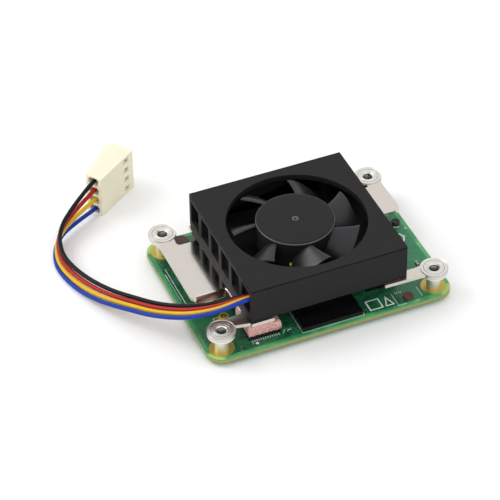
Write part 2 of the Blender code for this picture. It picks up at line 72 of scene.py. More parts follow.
BOARD_TOP = board_high.z
PLATE_TOP = span("bracket_plate")[1].z
PLATE_THICKNESS = 0.8
PLATE_BOTTOM = PLATE_TOP - PLATE_THICKNESS
HOLE_X, HOLE_Y = (post_low.x + post_high.x) / 2, (post_low.y + post_high.y) / 2
EYE_RADIUS = 3.0
HOLES = [(x, y) for x in (-HOLE_X, HOLE_X) for y in (-HOLE_Y, HOLE_Y)]
BOARD_CORNER = 3.5
HOLE_RADIUS = 1.35
PAD_RADIUS = 2.7
INK = 0.015  # how far print and mask stand above what they lie on
AXIS = sum(span("rotor_yoke"), Vector()) / 2
BOSSES = [sum(span(f"housing_screw_{number}"), Vector()) / 2 for number in range(1, 5)]

# The ribbon of four wires: x, y, z of its middle, its tilt in degrees (0 flat, 90 on edge with the
# first wire on top) and the spacing of its wires, in mm. It runs from the motor board to the plug.
WIRE_DIAMETER = 0.96
RIBBON = (
    (-5.1, -4.8, 8.4, 0, 1.02),
    (-7.3, -6.9, 8.4, 0, 1.02),
    (-9.8, -9.3, 8.7, 0, 1.02),
    (-12.4, -12.1, 9.9, -10, 1.0),
    (-15.3, -13.75, 11.2, -24, 1.0),
    (-18.0, -13.95, 11.5, -23, 1.0),
    (-23.5, -12.3, 9.6, -6, 1.03),
    (-28.7, -9.3, 7.9, 7, 1.06),
    (-33.3, -4.6, 6.2, 12, 1.06),
    (-37.0, 1.1, 4.6, 17, 1.06),
    (-40.3, 7.1, 3.0, 26, 1.05),
    (-42.8, 12.9, 2.0, 40, 1.05),
    (-44.5, 18.3, 1.8, 52, 1.05),
    (-45.0, 23.1, 1.9, 60, 1.05),
    (-43.9, 27.6, 2.4, 70, 1.06),
    (-41.6, 30.8, 3.1, 82, 1.2),
    (-38.5, 33.1, 3.8, 88, 1.6),
    (-35.1, 35.0, 4.6, 90, 2.1),
    (-32.0, 36.75, 5.08, 90, 2.54),
    (-29.8, 38.28, 5.08, 90, 2.54),
)
WIRES = ("black", "red", "yellow", "blue")
STEPS_PER_ROW = 6  # points of a wire for each row of RIBBON

# ---------------------------------------------------------------- materials

WAVES_PER_UNIT = 3.1831  # drawn by Blender's wave texture at a scale of 1
UNEVEN = 0.12  # how far a plastic's colour wanders from its middle


class Look:
    """A Principled material, built up node by node in the object's own metres."""

    def __init__(self, name, colour, roughness, metallic=0.0, **fixed):
        self.material = bpy.data.materials.new(name)
        self.material.use_nodes = True
        self.tree = self.material.node_tree
        self.shader = self.tree.nodes["Principled BSDF"]
        self.place = self.add("ShaderNodeTexCoord").outputs["Object"]
        self.shader.inputs["Base Color"].default_value = (*colour, 1)
        self.shader.inputs["Roughness"].default_value = roughness
        self.shader.inputs["Metallic"].default_value = metallic
        for socket, value in fixed.items():
            self.shader.inputs[socket.replace("_", " ")].default_value = value
        self.height = None

    def add(self, kind, **inputs):
        made = self.tree.nodes.new(kind)
        for name, value in inputs.items():
            self.put(value, made.inputs[name.replace("_", " ")])
        return made

    def put(self, value, socket):
        if isinstance(value, bpy.types.NodeSocket):
            self.tree.links.new(value, socket)
        else:
            socket.default_value = value

    def noise(self, size_mm, detail=2.0, roughness=0.5):
        """Cloudy noise from 0 to 1 whose blobs are about this many mm wide."""
        made = self.add(
            "ShaderNodeTexNoise", Vector=self.place, Scale=1 / (size_mm * MM), Detail=detail
        )
        made.inputs["Roughness"].default_value = roughness
        return made.outputs["Fac"]

    def cells(self, size_mm, feature="F1"):
        """Distances in a Voronoi pattern whose cells are about this many mm wide."""
        made = self.add("ShaderNodeTexVoronoi", Vector=self.place, Scale=1 / (size_mm * MM))
        made.feature = feature
        return made.outputs["Distance"]

    def bands(self, period_mm, direction):
        """A wave from 0 to 1 with this period along X, Y or Z."""
        scale = 1 / (period_mm * MM) / WAVES_PER_UNIT
        made = self.add("ShaderNodeTexWave", Vector=self.place, Scale=scale)
        made.bands_direction = direction
        return made.outputs["Fac"]

    def axis(self, name):
        """How far along X, Y or Z each point is, in metres."""
        return self.add("ShaderNodeSeparateXYZ", Vector=self.place).outputs[name]

    def steps(self, value, *stops):
        """The value turned into a colour or a height between stops of (position, colour)."""
        made = self.add("ShaderNodeValToRGB", Fac=value)
        ramp = made.color_ramp
        while len(ramp.elements) < len(stops):
            ramp.elements.new(0.5)
        for element, (position, colour) in zip(ramp.elements, stops):
            element.position = position
            if isinstance(colour, (int, float)):
                colour = (colour,) * 3
            element.color = (*colour, 1)
        return made.outputs["Color"]

    def between(self, value, low, high, start=0.0, end=1.0):
        """The value moved from start..end to low..high."""
        reach = {"From_Min": start, "From_Max": end, "To_Min": low, "To_Max": high}
        return self.add("ShaderNodeMapRange", Value=value, **reach).outputs["Result"]

    def maths(self, operation, first, second=0.0):
        made = self.tree.nodes.new("ShaderNodeMath")
        made.operation = operation
        self.put(first, made.inputs[0])
        self.put(second, made.inputs[1])
        return made.outputs[0]

    def mix(self, share, first, second):
        made = self.tree.nodes.new("ShaderNodeMix")
        made.data_type = "RGBA"
        self.put(share, made.inputs[0])
        for value, socket in ((first, made.inputs[6]), (second, made.inputs[7])):
            self.put((*value, 1) if isinstance(value, tuple) else value, socket)
        return made.outputs[2]

    def tint(self, value):
        self.put(value, self.shader.inputs["Base Color"])
        return self

    def rough(self, value):
        self.put(value, self.shader.inputs["Roughness"])
        return self

    def relief(self, height, depth_mm, strength=1.0):
        """Adds bumps of this depth, on top of any that were added before."""
        made = self.add(
            "ShaderNodeBump", Height=height, Distance=depth_mm * MM, Strength=strength
        )
        if self.height is not None:
            self.put(self.height, made.inputs["Normal"])
        self.height = made.outputs["Normal"]
        self.put(self.height, self.shader.inputs["Normal"])
        return self


def shade(colour, share):
    return tuple(channel * share for channel in colour)


def plastic(name, colour, roughness, grain_mm, grain_depth, specular=0.5):
    """Moulded plastic with a fine grain, a little unevenness of colour and of gloss."""
    look = Look(name, colour, roughness, Specular_IOR_Level=specular)
    cloud = look.noise(4.0, 3)
    look.tint(look.mix(cloud, shade(colour, 1 - UNEVEN), shade(colour, 1 + UNEVEN)))
    look.rough(look.between(look.noise(1.2, 4), roughness - 0.07, roughness + 0.07))
    return look.relief(look.noise(grain_mm, 2, 0.6), grain_depth)


def metal(name, colour, roughness, grain_mm=0.5, grain_depth=0.0015):
    """Metal with a faint unevenness from rolling, turning or plating."""
    look = Look(name, colour, roughness, 1.0)
    look.tint(look.mix(look.noise(2.5, 4), shade(colour, 0.94), colour))
    look.rough(look.between(look.noise(1.0, 5), roughness - 0.05, roughness + 0.05))
    return look.relief(look.noise(grain_mm, 4), grain_depth)


MIRROR_UNTIL, SATIN_FROM = -9.5 * MM, -13.5 * MM  # along Y
LEFT_ARM, LEFT_ARM_HALF = -15.5 * MM, 2.5 * MM  # the stretch along X that stays a mirror


def nickel():
    """Bright plated sheet: close to a mirror, and satin along the front but for the left arm."""
    look = Look("nickel_plate", (0.69, 0.645, 0.59), 0.14, 1.0)
    look.tint(look.mix(look.noise(2.5, 4), (0.65, 0.61, 0.56), (0.7, 0.655, 0.6)))
    forward = look.between(look.axis("Y"), 0.0, 0.17, MIRROR_UNTIL, SATIN_FROM)
    off_arm = look.maths("ABSOLUTE", look.maths("ADD", look.axis("X"), -LEFT_ARM))
    satin = look.maths("MULTIPLY", look.maths("GREATER_THAN", off_arm, LEFT_ARM_HALF), forward)
    look.rough(look.maths("ADD", satin, look.between(look.noise(1.0, 5), 0.1, 0.17)))
    return look.relief(look.noise(3.0, 4), 0.003)


def solder_mask():
    """Green mask: dark over copper, lighter over bare laminate, as along the board's edge."""
    look = Look("solder_mask", (0.03, 0.2, 0.08), 0.3, Specular_IOR_Level=0.45)
    gaps = look.steps(look.cells(1.6, "DISTANCE_TO_EDGE"), (0.02, 0), (0.045, 1))
    tracks = look.steps(look.bands(0.42, "Y"), (0.4, 0), (0.55, 1))
    where = look.steps(look.noise(5.0, 1), (0.5, 0), (0.56, 1))
    copper = look.mix(where, gaps, look.maths("MULTIPLY", gaps, tracks))
    base = look.mix(copper, (0.02, 0.2, 0.075), (0.006, 0.075, 0.034))
    cloud = look.steps(look.noise(3.4, 2), (0.4, 0), (0.62, 1))
    base = look.mix(look.maths("MULTIPLY", cloud, 0.45), base, (0.014, 0.135, 0.055))
    reach = []
    for axis, edge in (("X", board_high.x), ("Y", board_high.y)):
        out = look.maths("ABSOLUTE", look.axis(axis))
        past = look.maths("SUBTRACT", out, (edge - BOARD_CORNER) * MM)
        reach.append(look.maths("MAXIMUM", past, 0.0))
    # Painted light: the strip right of the housing is mixed halfway to a lighter green, as if fully lit.
    lit_right_strip = look.steps(look.axis("X"), (16.5 * MM, 0), (21 * MM, 1))
    base = look.mix(look.maths("MULTIPLY", lit_right_strip, 0.5), base, (0.03, 0.3, 0.13))
    squares = [look.maths("MULTIPLY", each, each) for each in reach]
    from_corner = look.maths("SQRT", look.maths("ADD", *squares))
    share = look.maths("DIVIDE", from_corner, BOARD_CORNER * MM)
    wander = look.maths("MULTIPLY", look.maths("SUBTRACT", look.noise(1.6, 2), 0.5), 0.12)
    margin = look.steps(look.maths("ADD", share, wander), (0.68, 0), (0.8, 1))
    patches = look.steps(look.noise(4.0, 1), (0.4, 0), (0.6, 1))
    bare = look.mix(patches, (0.045, 0.27, 0.1), (0.1, 0.42, 0.17))
    base = look.mix(margin, base, bare)
    near_corner = look.maths("DIVIDE", look.maths("MULTIPLY", *reach), (BOARD_CORNER * MM) ** 2)
    glow = look.steps(near_corner, (0.04, 0), (0.24, 0.9))
    look.tint(look.mix(glow, base, (0.42, 0.58, 0.12)))
    look.relief(copper, 0.02, 0.6)
    return look.relief(look.noise(0.5, 3), 0.004)


def board_edge():
    """The routed edge of the board: glass-fibre laminate between two green films."""
    look = Look("board_edge", (0.3, 0.32, 0.1), 0.55, Subsurface_Weight=0.15)
    look.shader.inputs["Subsurface Scale"].default_value = 0.0006
    level = look.maths("ADD", look.axis("Z"), look.maths("MULTIPLY", look.noise(0.35, 2), 0.00025))
    share = look.between(level, 0.0, 1.0, board_low.z * MM, board_high.z * MM + 0.00012)
    bands = look.steps(
        share,
        (0.0, (0.05, 0.16, 0.06)),
        (0.14, (0.24, 0.22, 0.06)),
        (0.38, (0.33, 0.31, 0.09)),
        (0.55, (0.42, 0.42, 0.14)),
        (0.72, (0.2, 0.42, 0.12)),
        (0.88, (0.06, 0.3, 0.1)),
    )
    look.tint(look.mix(look.noise(0.8, 3), bands, (0.2, 0.24, 0.08)))
    return look.relief(look.noise(0.12, 3), 0.02)


def silicone():
    """Soft filled silicone, full of fine open pores."""
    look = Look("pink_silicone", (0.7, 0.33, 0.34), 0.85, Specular_IOR_Level=0.25)
    look.shader.inputs["Subsurface Weight"].default_value = 0.2
    look.shader.inputs["Subsurface Scale"].default_value = 0.0005
    pores = look.steps(look.cells(0.28), (0.1, 0), (0.5, 1))
    blotches = look.steps(look.noise(0.42, 4), (0.3, 0), (0.7, 1))
    mottled = look.mix(blotches, (0.36, 0.11, 0.11), (0.93, 0.6, 0.56))
    # Painted shade in the pits: the rims between the pores are lightened, and the pore centres keep the
    # darker mottled colour.
    look.tint(look.mix(look.maths("MULTIPLY", pores, 0.5), mottled, (0.8, 0.45, 0.42)))
    look.relief(pores, 0.12, 0.9)
    return look.relief(look.noise(0.2, 4), 0.09)


def insulation(name, colour, gloss=0.34):
    """Soft extruded PVC."""
    look = Look(name, colour, 0.36, Specular_IOR_Level=gloss)
    look.tint(look.mix(look.noise(3.0, 3), shade(colour, 0.72), shade(colour, 0.95)))
    look.rough(look.between(look.noise(1.5, 3), 0.28, 0.42))
    return look.relief(look.noise(0.4, 3), 0.006)


def nylon():
    look = Look("cream_nylon", (0.86, 0.81, 0.62), 0.42, Specular_IOR_Level=0.4)
    look.shader.inputs["Subsurface Weight"].default_value = 0.3
    look.shader.inputs["Subsurface Radius"].default_value = (1.0, 0.8, 0.45)
    look.shader.inputs["Subsurface Scale"].default_value = 0.0008
    look.tint(look.mix(look.noise(3.0, 3), (0.8, 0.75, 0.56), (0.86, 0.82, 0.65)))
    return look.relief(look.noise(0.6, 3), 0.006)


def copper_winding():
    """Fine enamelled wire, wound in even turns."""
    look = Look("copper_winding", (0.72, 0.3, 0.12), 0.3, 1.0)
    turns = look.bands(0.16, "Z")
    # Painted shade and painted highlight: darker in the grooves between the turns, lighter on their crowns.
    look.tint(look.mix(turns, (0.3, 0.1, 0.04), (0.8, 0.36, 0.16)))
    return look.relief(turns, 0.05)


def laminations():
    look = Look("lamination_steel", (0.36, 0.37, 0.39), 0.42, 1.0)
    sheets = look.bands(0.35, "Z")
    look.tint(look.mix(sheets, (0.16, 0.16, 0.17), (0.42, 0.43, 0.45)))
    return look.relief(sheets, 0.03)


def ferrite(name, colour):
    look = Look(name, colour, 0.6)
    look.tint(look.mix(look.noise(0.4, 4), shade(colour, 0.5), shade(colour, 1.7)))
    return look.relief(look.noise(0.12, 4), 0.012)


LOOKS = {
    "black_housing": plastic("black_housing", (0.0105, 0.0105, 0.0108), 0.58, 0.16, 0.006, 0.2),
    "rotor_plastic": plastic("rotor_plastic", (0.0105, 0.0105, 0.011), 0.42, 0.2, 0.004, 0.17),
    "blade_plastic": plastic("blade_plastic", (0.014, 0.014, 0.017), 0.36, 0.5, 0.02, 0.42),
    # a lighter plastic that paints a highlight on the hub's rounded rim
    "rubbed_plastic": plastic("rubbed_plastic", (0.085, 0.085, 0.085), 0.3, 0.5, 0.003, 0.5),
    "chip_black": plastic("chip_epoxy", (0.004, 0.0042, 0.0055), 0.24, 0.1, 0.003, 0.4),
    "nickel": nickel(),
    # dark brown nickel for the lip's sloping face: a painted reflection of the wires in front of it
    "lip_nickel": metal("lip_nickel", (0.32, 0.2, 0.15), 0.18, 0.5, 0.003),
    "turned_nickel": metal("turned_nickel", (0.75, 0.73, 0.69), 0.4, 0.45, 0.012),
    # a dark copy of the nickel for the standoffs' bores and tool rings: painted shade
    "thread": metal("thread", (0.3, 0.28, 0.25), 0.25, 0.25, 0.004),
    # a lighter copy of the nickel for the posts and flanges under the plate: painted light
    "post_nickel": metal("post_nickel", (0.84, 0.82, 0.8), 0.44, 0.6, 0.003),
    "lead_tin": plastic("lead_tin", (0.7, 0.74, 0.68), 0.35, 0.3, 0.004, 0.6),
    "brass": metal("brass", (0.8, 0.58, 0.27), 0.3),
    "gold": metal("gold_plating", (0.56, 0.46, 0.12), 0.5, 0.3, 0.004),
    "tin": metal("tin_solder", (0.66, 0.66, 0.65), 0.32, 0.2, 0.008),
    "steel": metal("plain_steel", (0.56, 0.56, 0.57), 0.28),
    "copper": copper_winding(),
    "lamination": laminations(),
    "ferrite": ferrite("brown_ferrite", (0.07, 0.032, 0.022)),
    "grey_ferrite": ferrite("dark_ferrite", (0.022, 0.018, 0.017)),
    "red_brown": ferrite("red_brown_cap", (0.095, 0.035, 0.02)),
    "ceramic": ferrite("tan_ceramic", (0.32, 0.2, 0.11)),
    "cream_nylon": nylon(),
    "thermal_pink": silicone(),
    "solder_mask": solder_mask(),
    "board_edge": board_edge(),
    "track_mask": plastic("track_mask", (0.03, 0.2, 0.085), 0.3, 0.5, 0.004),
    "putty": plastic("putty", (0.5, 0.52, 0.07), 0.5, 0.3, 0.02),
    "white_ink": plastic("white_ink", (0.74, 0.8, 0.74), 0.6, 0.1, 0.004, 0.3),
    "wire_black": insulation("pvc_black", (0.005, 0.005, 0.006), 0.18),
    "wire_red": insulation("pvc_red", (0.44, 0.018, 0.009), 0.25),
    "wire_yellow": insulation("pvc_yellow", (0.82, 0.5, 0.02), 0.25),
    "wire_blue": insulation("pvc_blue", (0.003, 0.04, 0.36), 0.25),
}


def look(name):
    return LOOKS[name].material


# ---------------------------------------------------------------- mesh tools, in mm


def link(name, data):
    """A new object with this data, in the scene."""
    made = bpy.data.objects.new(name, data)
    scene.collection.objects.link(made)
    return made


def mesh_of(name, shape):
    """The shape's mesh, which uses the shape up."""
    mesh = bpy.data.meshes.new(name)
    shape.to_mesh(mesh)
    shape.free()
    return mesh


def evaluated(made):
    """The mesh of an object as its modifiers or its curve settings leave it."""
    bpy.context.view_layer.update()
    graph = bpy.context.evaluated_depsgraph_get()
    return bpy.data.meshes.new_from_object(made.evaluated_get(graph))


def cuts(*shapes):
    """Steps for carved() that take each shape away."""
    return [("DIFFERENCE", shape) for shape in shapes]


def make(name, shape, looks, body="root", stands_for=(), smooth=35):
    """Turns a shape drawn in mm into a piece of the object, in metres."""
    mesh = mesh_of(name, shape) if isinstance(shape, bmesh.types.BMesh) else shape
    mesh.transform(Matrix.Scale(MM, 4))
    for each in looks:
        mesh.materials.append(look(each))
    mesh.shade_smooth()
    mesh.set_sharp_from_angle(angle=math.radians(smooth))
    made = link(name, mesh)
    even = made.modifiers.new("flat faces stay flat", "WEIGHTED_NORMAL")
    even.keep_sharp = True
    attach(made, body)
    if stands_for:
        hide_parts(*stands_for)
    return made


def block(low, high, edge=0.0, steps=2, shape=None, turn=None):
    """A block between two corners, its edges rounded; turn is a matrix about the origin."""
    shape = shape or bmesh.new()
    low, high = Vector(low), Vector(high)
    verts = bmesh.ops.create_cube(shape, size=1)["verts"]
    bmesh.ops.scale(shape, vec=high - low, verts=verts)
    bmesh.ops.translate(shape, vec=(low + high) / 2, verts=verts)
    if turn:
        bmesh.ops.transform(shape, matrix=turn, verts=verts)
    if edge:
        edges = list({each for vert in verts for each in vert.link_edges})
        bmesh.ops.bevel(
            shape, geom=edges, offset=edge, segments=steps, profile=0.5, affect="EDGES"
        )
    return shape


def skin(shape, first, second):
    """A band of faces between two rings of as many vertices."""
    for start in range(len(first)):
        end = (start + 1) % len(first)
        shape.faces.new((first[start], second[start], second[end], first[end]))


def loft(shape, rings):
    """A closed bar through the rings."""
    for first, second in zip(rings, rings[1:]):
        skin(shape, first, second)
    shape.faces.new(rings[0])
    shape.faces.new(rings[-1][::-1])
    bmesh.ops.recalc_face_normals(shape, faces=shape.faces)


def turned(profile, segments=64, centre=(0, 0), shape=None):
    """A closed shape turned about Z from a loop of (radius, height) points."""
    shape = shape or bmesh.new()
    columns = []
    for index in range(segments):
        angle = math.tau * index / segments
        across = (math.cos(angle), math.sin(angle))
        places = [(centre[0] + r * across[0], centre[1] + r * across[1], z) for r, z in profile]
        columns.append([shape.verts.new(place) for place in places])
    for index, column in enumerate(columns):
        skin(shape, column, columns[(index + 1) % segments])
    on_axis = [vert for column in columns for vert in column]
    bmesh.ops.remove_doubles(shape, verts=on_axis, dist=0.0005)
    bmesh.ops.recalc_face_normals(shape, faces=[face for face in shape.faces if face.is_valid])
    return shape


def arc(centre, radius, start, end, steps):
    """Points along an arc, its ends included, the angles in degrees."""
    angles = np.radians(np.linspace(start, end, steps + 1))
    return [(centre[0] + radius * math.cos(a), centre[1] + radius * math.sin(a)) for a in angles]


def corner(point, radius, start, steps=8):
    """An outer quarter turn of an anticlockwise outline, at the corner where it would be square."""
    turn = math.radians(start + 45)
    reach = radius * math.sqrt(2)
    centre = (point[0] - reach * math.cos(turn), point[1] - reach * math.sin(turn))
    return arc(centre, radius, start, start + 90, steps)


def flat(outlines, bottom, top, edge=0.0):
    """A flat piece in mm, its first outline anticlockwise, the others holes, its edges rounded."""
    curve = bpy.data.curves.new("outline", "CURVE")
    curve.dimensions = "2D"
    curve.fill_mode = "BOTH"
    curve.extrude = (top - bottom) / 2 - edge
    curve.bevel_depth = edge
    curve.bevel_resolution = 2
    curve.offset = -edge
    for index, points in enumerate(outlines):
        spline = curve.splines.new("POLY")
        spline.points.add(len(points) - 1)
        for target, (x, y) in zip(spline.points, points if index == 0 else points[::-1]):
            target.co = (x, y, 0, 1)
        spline.use_cyclic_u = True
    drawn = link("outline", curve)
    mesh = evaluated(drawn)
    bpy.data.objects.remove(drawn)
    shape = bmesh.new()
    shape.from_mesh(mesh)
    bmesh.ops.translate(shape, vec=(0, 0, (bottom + top) / 2), verts=shape.verts)
    bmesh.ops.remove_doubles(shape, verts=shape.verts, dist=0.0005)
    bmesh.ops.recalc_face_normals(shape, faces=shape.faces)
    return shape


def carved(base, steps, edge=0.0, segments=2, angle=40):
    """The base with ("UNION" or "DIFFERENCE", shape) steps applied, its sharp edges then rounded."""
    base = link("helper", mesh_of("helper", base))
    helpers = []
    for operation, shape in steps:
        helpers.append(link("helper", mesh_of("helper", shape)))
        step = base.modifiers.new(operation, "BOOLEAN")
        step.operation = operation
        step.object = helpers[-1]
        step.solver = "EXACT"
    if edge:
        bevel = base.modifiers.new("edges", "BEVEL")
        bevel.width = edge
        bevel.segments = segments
        bevel.limit_method = "ANGLE"
        bevel.angle_limit = math.radians(angle)
    mesh = evaluated(base)
    mesh.materials.clear()
    for each in (base, *helpers):
        bpy.data.objects.remove(each)
    return mesh


def drum(x, y, bottom, top, radius, edge=0.0, segments=48, shape=None):
    """An upright cylinder with rounded rims."""
    rims = arc((radius - edge, top - edge), edge, 90, 0, 4) if edge else [(radius, top)]
    feet = arc((radius - edge, bottom + edge), edge, 0, -90, 4) if edge else [(radius, bottom)]
    return turned([(0, top), *rims, *feet, (0, bottom)], segments, (x, y), shape)


def tube(points, radius, shape):
    """A round bar along the points, each end closed, its rings upright and square to its run."""
    points = [Vector(point) for point in points]
    rings, sides = [], 14
    for index, point in enumerate(points):
        run = points[min(index + 1, len(points) - 1)] - points[max(index - 1, 0)]
        across = Vector((run.y, -run.x, 0)).normalized()
        up = across.cross(run.normalized())
        angles = [math.tau * step / sides for step in range(sides)]
        ring = [point + radius * (across * math.cos(a) + up * math.sin(a)) for a in angles]
        rings.append([shape.verts.new(place) for place in ring])
    loft(shape, rings)


def stroke(points, width, bottom, top, shape, closed=False):
    """A flat printed line through the points, with mitred corners."""
    points = [Vector(point) for point in points]
    sides = []
    count = len(points)
    for index, point in enumerate(points):
        before = points[index - 1] if closed or index else None
        after = points[(index + 1) % count] if closed or index < count - 1 else None
        runs = [
            (end - start).normalized()
            for start, end in ((before, point), (point, after))
            if start is not None and end is not None
        ]
        normals = [Vector((-run.y, run.x)) for run in runs]
        middle = sum(normals, Vector((0, 0))).normalized()
        reach = width / 2 / max(0.3, middle.dot(normals[0]))
        sides.append((point + middle * reach, point - middle * reach))
    rings = [
        [shape.verts.new((*place, level)) for place, level in zip((a, b, b, a), (top, top, bottom, bottom))]
        for a, b in sides
    ]
    pairs = list(zip(rings, rings[1:] + rings[:1]))[: None if closed else -1]
    for first, second in pairs:
        skin(shape, second, first)
    if not closed:
        shape.faces.new(rings[0])
        shape.faces.new(rings[-1][::-1])


# ---------------------------------------------------------------- camera, floor and light

CAMERA_TARGET = Vector((-6.841, 9.408, 2.2))
CAMERA_AZIMUTH = math.radians(-22.142)
CAMERA_ELEVATION = math.radians(40.891)
CAMERA_ROLL = math.radians(-1.023)
CAMERA_DISTANCE = 550.27
CAMERA_LENS = 185.48


def make_camera():
    level = math.cos(CAMERA_ELEVATION)
    across, along = math.sin(CAMERA_AZIMUTH), math.cos(CAMERA_AZIMUTH)
    back = Vector((across * level, -along * level, math.sin(CAMERA_ELEVATION)))
    right = Vector((along, across, 0))
    turn = Matrix((right, back.cross(right), back)).transposed().to_4x4()
    data = bpy.data.cameras.new("camera")
    data.lens = CAMERA_LENS
    data.clip_start = 0.01
    data.clip_end = 20
    camera = link("camera", data)
    place = Matrix.Translation((CAMERA_TARGET + back * CAMERA_DISTANCE) * MM)
    camera.matrix_world = place @ turn @ Matrix.Rotation(CAMERA_ROLL, 4, "Z")
    scene.camera = camera


def make_studio():
    """A plain white floor in a bright white room, with one large soft light above on the left."""
    world = bpy.data.worlds.new("room")
    world.use_nodes = True
    sky = world.node_tree.nodes["Background"]
    sky.inputs["Color"].default_value = (1.0, 1.0, 1.0, 1)
    sky.inputs["Strength"].default_value = 0.98
    scene.world = world
    shape = bmesh.new()
    bmesh.ops.create_grid(shape, x_segments=1, y_segments=1, size=1.5)
    floor = link("floor", mesh_of("floor", shape))
    paper = Look("paper", (0.93, 0.93, 0.93), 0.7, Specular_IOR_Level=0.2)
    paper.tint(paper.mix(paper.noise(60, 2), (0.92, 0.92, 0.92), (0.94, 0.94, 0.94)))
    floor.data.materials.append(paper.material)
    for name, place, size, power in (
        ("key", (-0.42, 0.25, 0.5), 0.35, 1.5),
        ("fill", (0.25, -0.5, 0.6), 0.6, 0.5),
    ):
        data = bpy.data.lights.new(name, "AREA")
        data.size = size
        data.energy = power
        lamp = link(name, data)
        lamp.location = place
        lamp.rotation_euler = Vector(place).to_track_quat("Z", "Y").to_euler()


# ---------------------------------------------------------------- wires and plug


def smooth_rows(rows, steps):
    """Rows read from a Catmull-Rom curve through the given rows, the last row included."""
    known = np.array(rows, float)
    ends = np.vstack([2 * known[0] - known[1], known, 2 * known[-1] - known[-2]])
    found = []
    for before, start, end, after in zip(ends, ends[1:], ends[2:], ends[3:]):
        for t in np.arange(steps) / steps:
            found.append(
                start
                + 0.5 * (end - before) * t
                + (before - 2.5 * start + 2 * end - 0.5 * after) * t * t
                + (1.5 * start - 0.5 * before - 1.5 * end + 0.5 * after) * t**3
            )
    return np.array(found + [ends[-2]])


def wire_paths():
    """The four wires' centre lines, side by side across the ribbon, in metres."""
    rows = smooth_rows(RIBBON, STEPS_PER_ROW)
    middle, tilt, pitch = rows[:, :3], np.radians(rows[:, 3:4]), rows[:, 4:5]
    run = np.gradient(middle, axis=0)[:, :2]
    run /= np.linalg.norm(run, axis=1)[:, None]
    flat_across = np.column_stack([-run[:, 1], run[:, 0], np.zeros(len(run))])
    across = np.cos(tilt) * flat_across - np.sin(tilt) * np.array([0, 0, 1.0])
    count = len(WIRES)
    return [(middle + (i - (count - 1) / 2) * pitch * across) * MM for i in range(count)]


def make_wires():
    for colour, path in zip(WIRES, wire_paths()):
        name = f"lead_{colour}"
        curve = bpy.data.curves.new(name, "CURVE")
        curve.dimensions = "3D"
        curve.bevel_depth = WIRE_DIAMETER / 2 * MM
        curve.bevel_resolution = 4
        curve.use_fill_caps = True
        spline = curve.splines.new("POLY")
        spline.points.add(len(path) - 1)
        for target, point in zip(spline.points, path):
            target.co = (*point, 1)
        spline.use_smooth = True
        curve.materials.append(look(f"wire_{colour}"))
        made = link(name, curve)
        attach(made, "root")
        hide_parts(f"wire_{colour}")


PLUG_TURN = math.radians(34.9)
PLUG_LENGTH = 12.1
PLUG_WIRE_END = 4.0  # how thick the plug is where the wires enter
PLUG_MATING_END = 6.0
PIN_PITCH = 2.54
PIN_LINE = 2.0  # from the plug's flat face


def make_plug():
    """The cream shell on its end face: a cavity for each contact, and its latch window."""
    low, high = span("fan_plug")
    corner_x = low.x + PLUG_WIRE_END * math.sin(PLUG_TURN)
    place = Matrix.Translation((corner_x, low.y, 0)) @ Matrix.Rotation(PLUG_TURN, 4, "Z")
    length, near, far = PLUG_LENGTH, PLUG_WIRE_END, PLUG_MATING_END
    outline = [(0, 0), (length, 0), (length, far), (length - 2.4, far), (0.6, near), (0, near)]
    line, half, slit = PIN_LINE, 0.95, 0.62  # the last two: half the width of a cavity and of its window
    steps = []
    for pin in range(len(WIRES)):
        level = high.z / 2 + (1.5 - pin) * PIN_PITCH
        steps.append(block((-1, line - half, level - half), (length + 1, line + half, level + half)))
        steps.append(block((9.5, -1, level - slit), (10.35, line, level + slit)))
        ramp = flat([[(8.0, -0.3), (10.35, -0.3), (10.35, 0.62), (9.6, 0.5), (8.0, 0.0)]], 0, 1.3)
        bmesh.ops.translate(ramp, vec=(0, 0, level - 0.65), verts=ramp.verts)
        steps.append(ramp)
        steps.append(block((-1, line - 1.2, level - slit), (1.2, line + 1.3, level + slit)))
    shell = flat([outline], 0, high.z)
    mesh = carved(shell, cuts(*steps), 0.1, 2)
    mesh.transform(place)
    return make("plug_shell", mesh, ("cream_nylon",), stands_for=("fan_plug",), smooth=50)


# ---------------------------------------------------------------- board


def make_board():
    outline = []
    for index, (x, y) in enumerate(((1, 1), (-1, 1), (-1, -1), (1, -1))):
        outline += corner((x * board_high.x, y * board_high.y), BOARD_CORNER, 90 * index, 14)
    holes = [arc(hole, HOLE_RADIUS, 0, 350, 35) for hole in HOLES]
    shape = flat([outline, *holes], board_low.z, BOARD_TOP, 0.1)
    for face in shape.faces:
        face.material_index = int(abs(face.normal.z) < 0.5)
    make("circuit_board", shape, ("solder_mask", "board_edge"), stands_for=("computer_board",))


def make_pads():
    """The plated holes at the corners, each with a gold ring on both faces."""
    top, bottom, skin = BOARD_TOP, board_low.z, 0.02
    profile = [(1.3, top + skin), (PAD_RADIUS, top + skin), (PAD_RADIUS, top - skin), (1.37, top - skin)]
    profile += [(1.37, bottom + skin), (PAD_RADIUS, bottom + skin), (PAD_RADIUS, bottom - skin)]
    profile += [(1.3, bottom - skin)]
    shape = bmesh.new()
    for hole in HOLES:
        turned(profile, 72, hole, shape)
    make("hole_plating", shape, ("gold",))


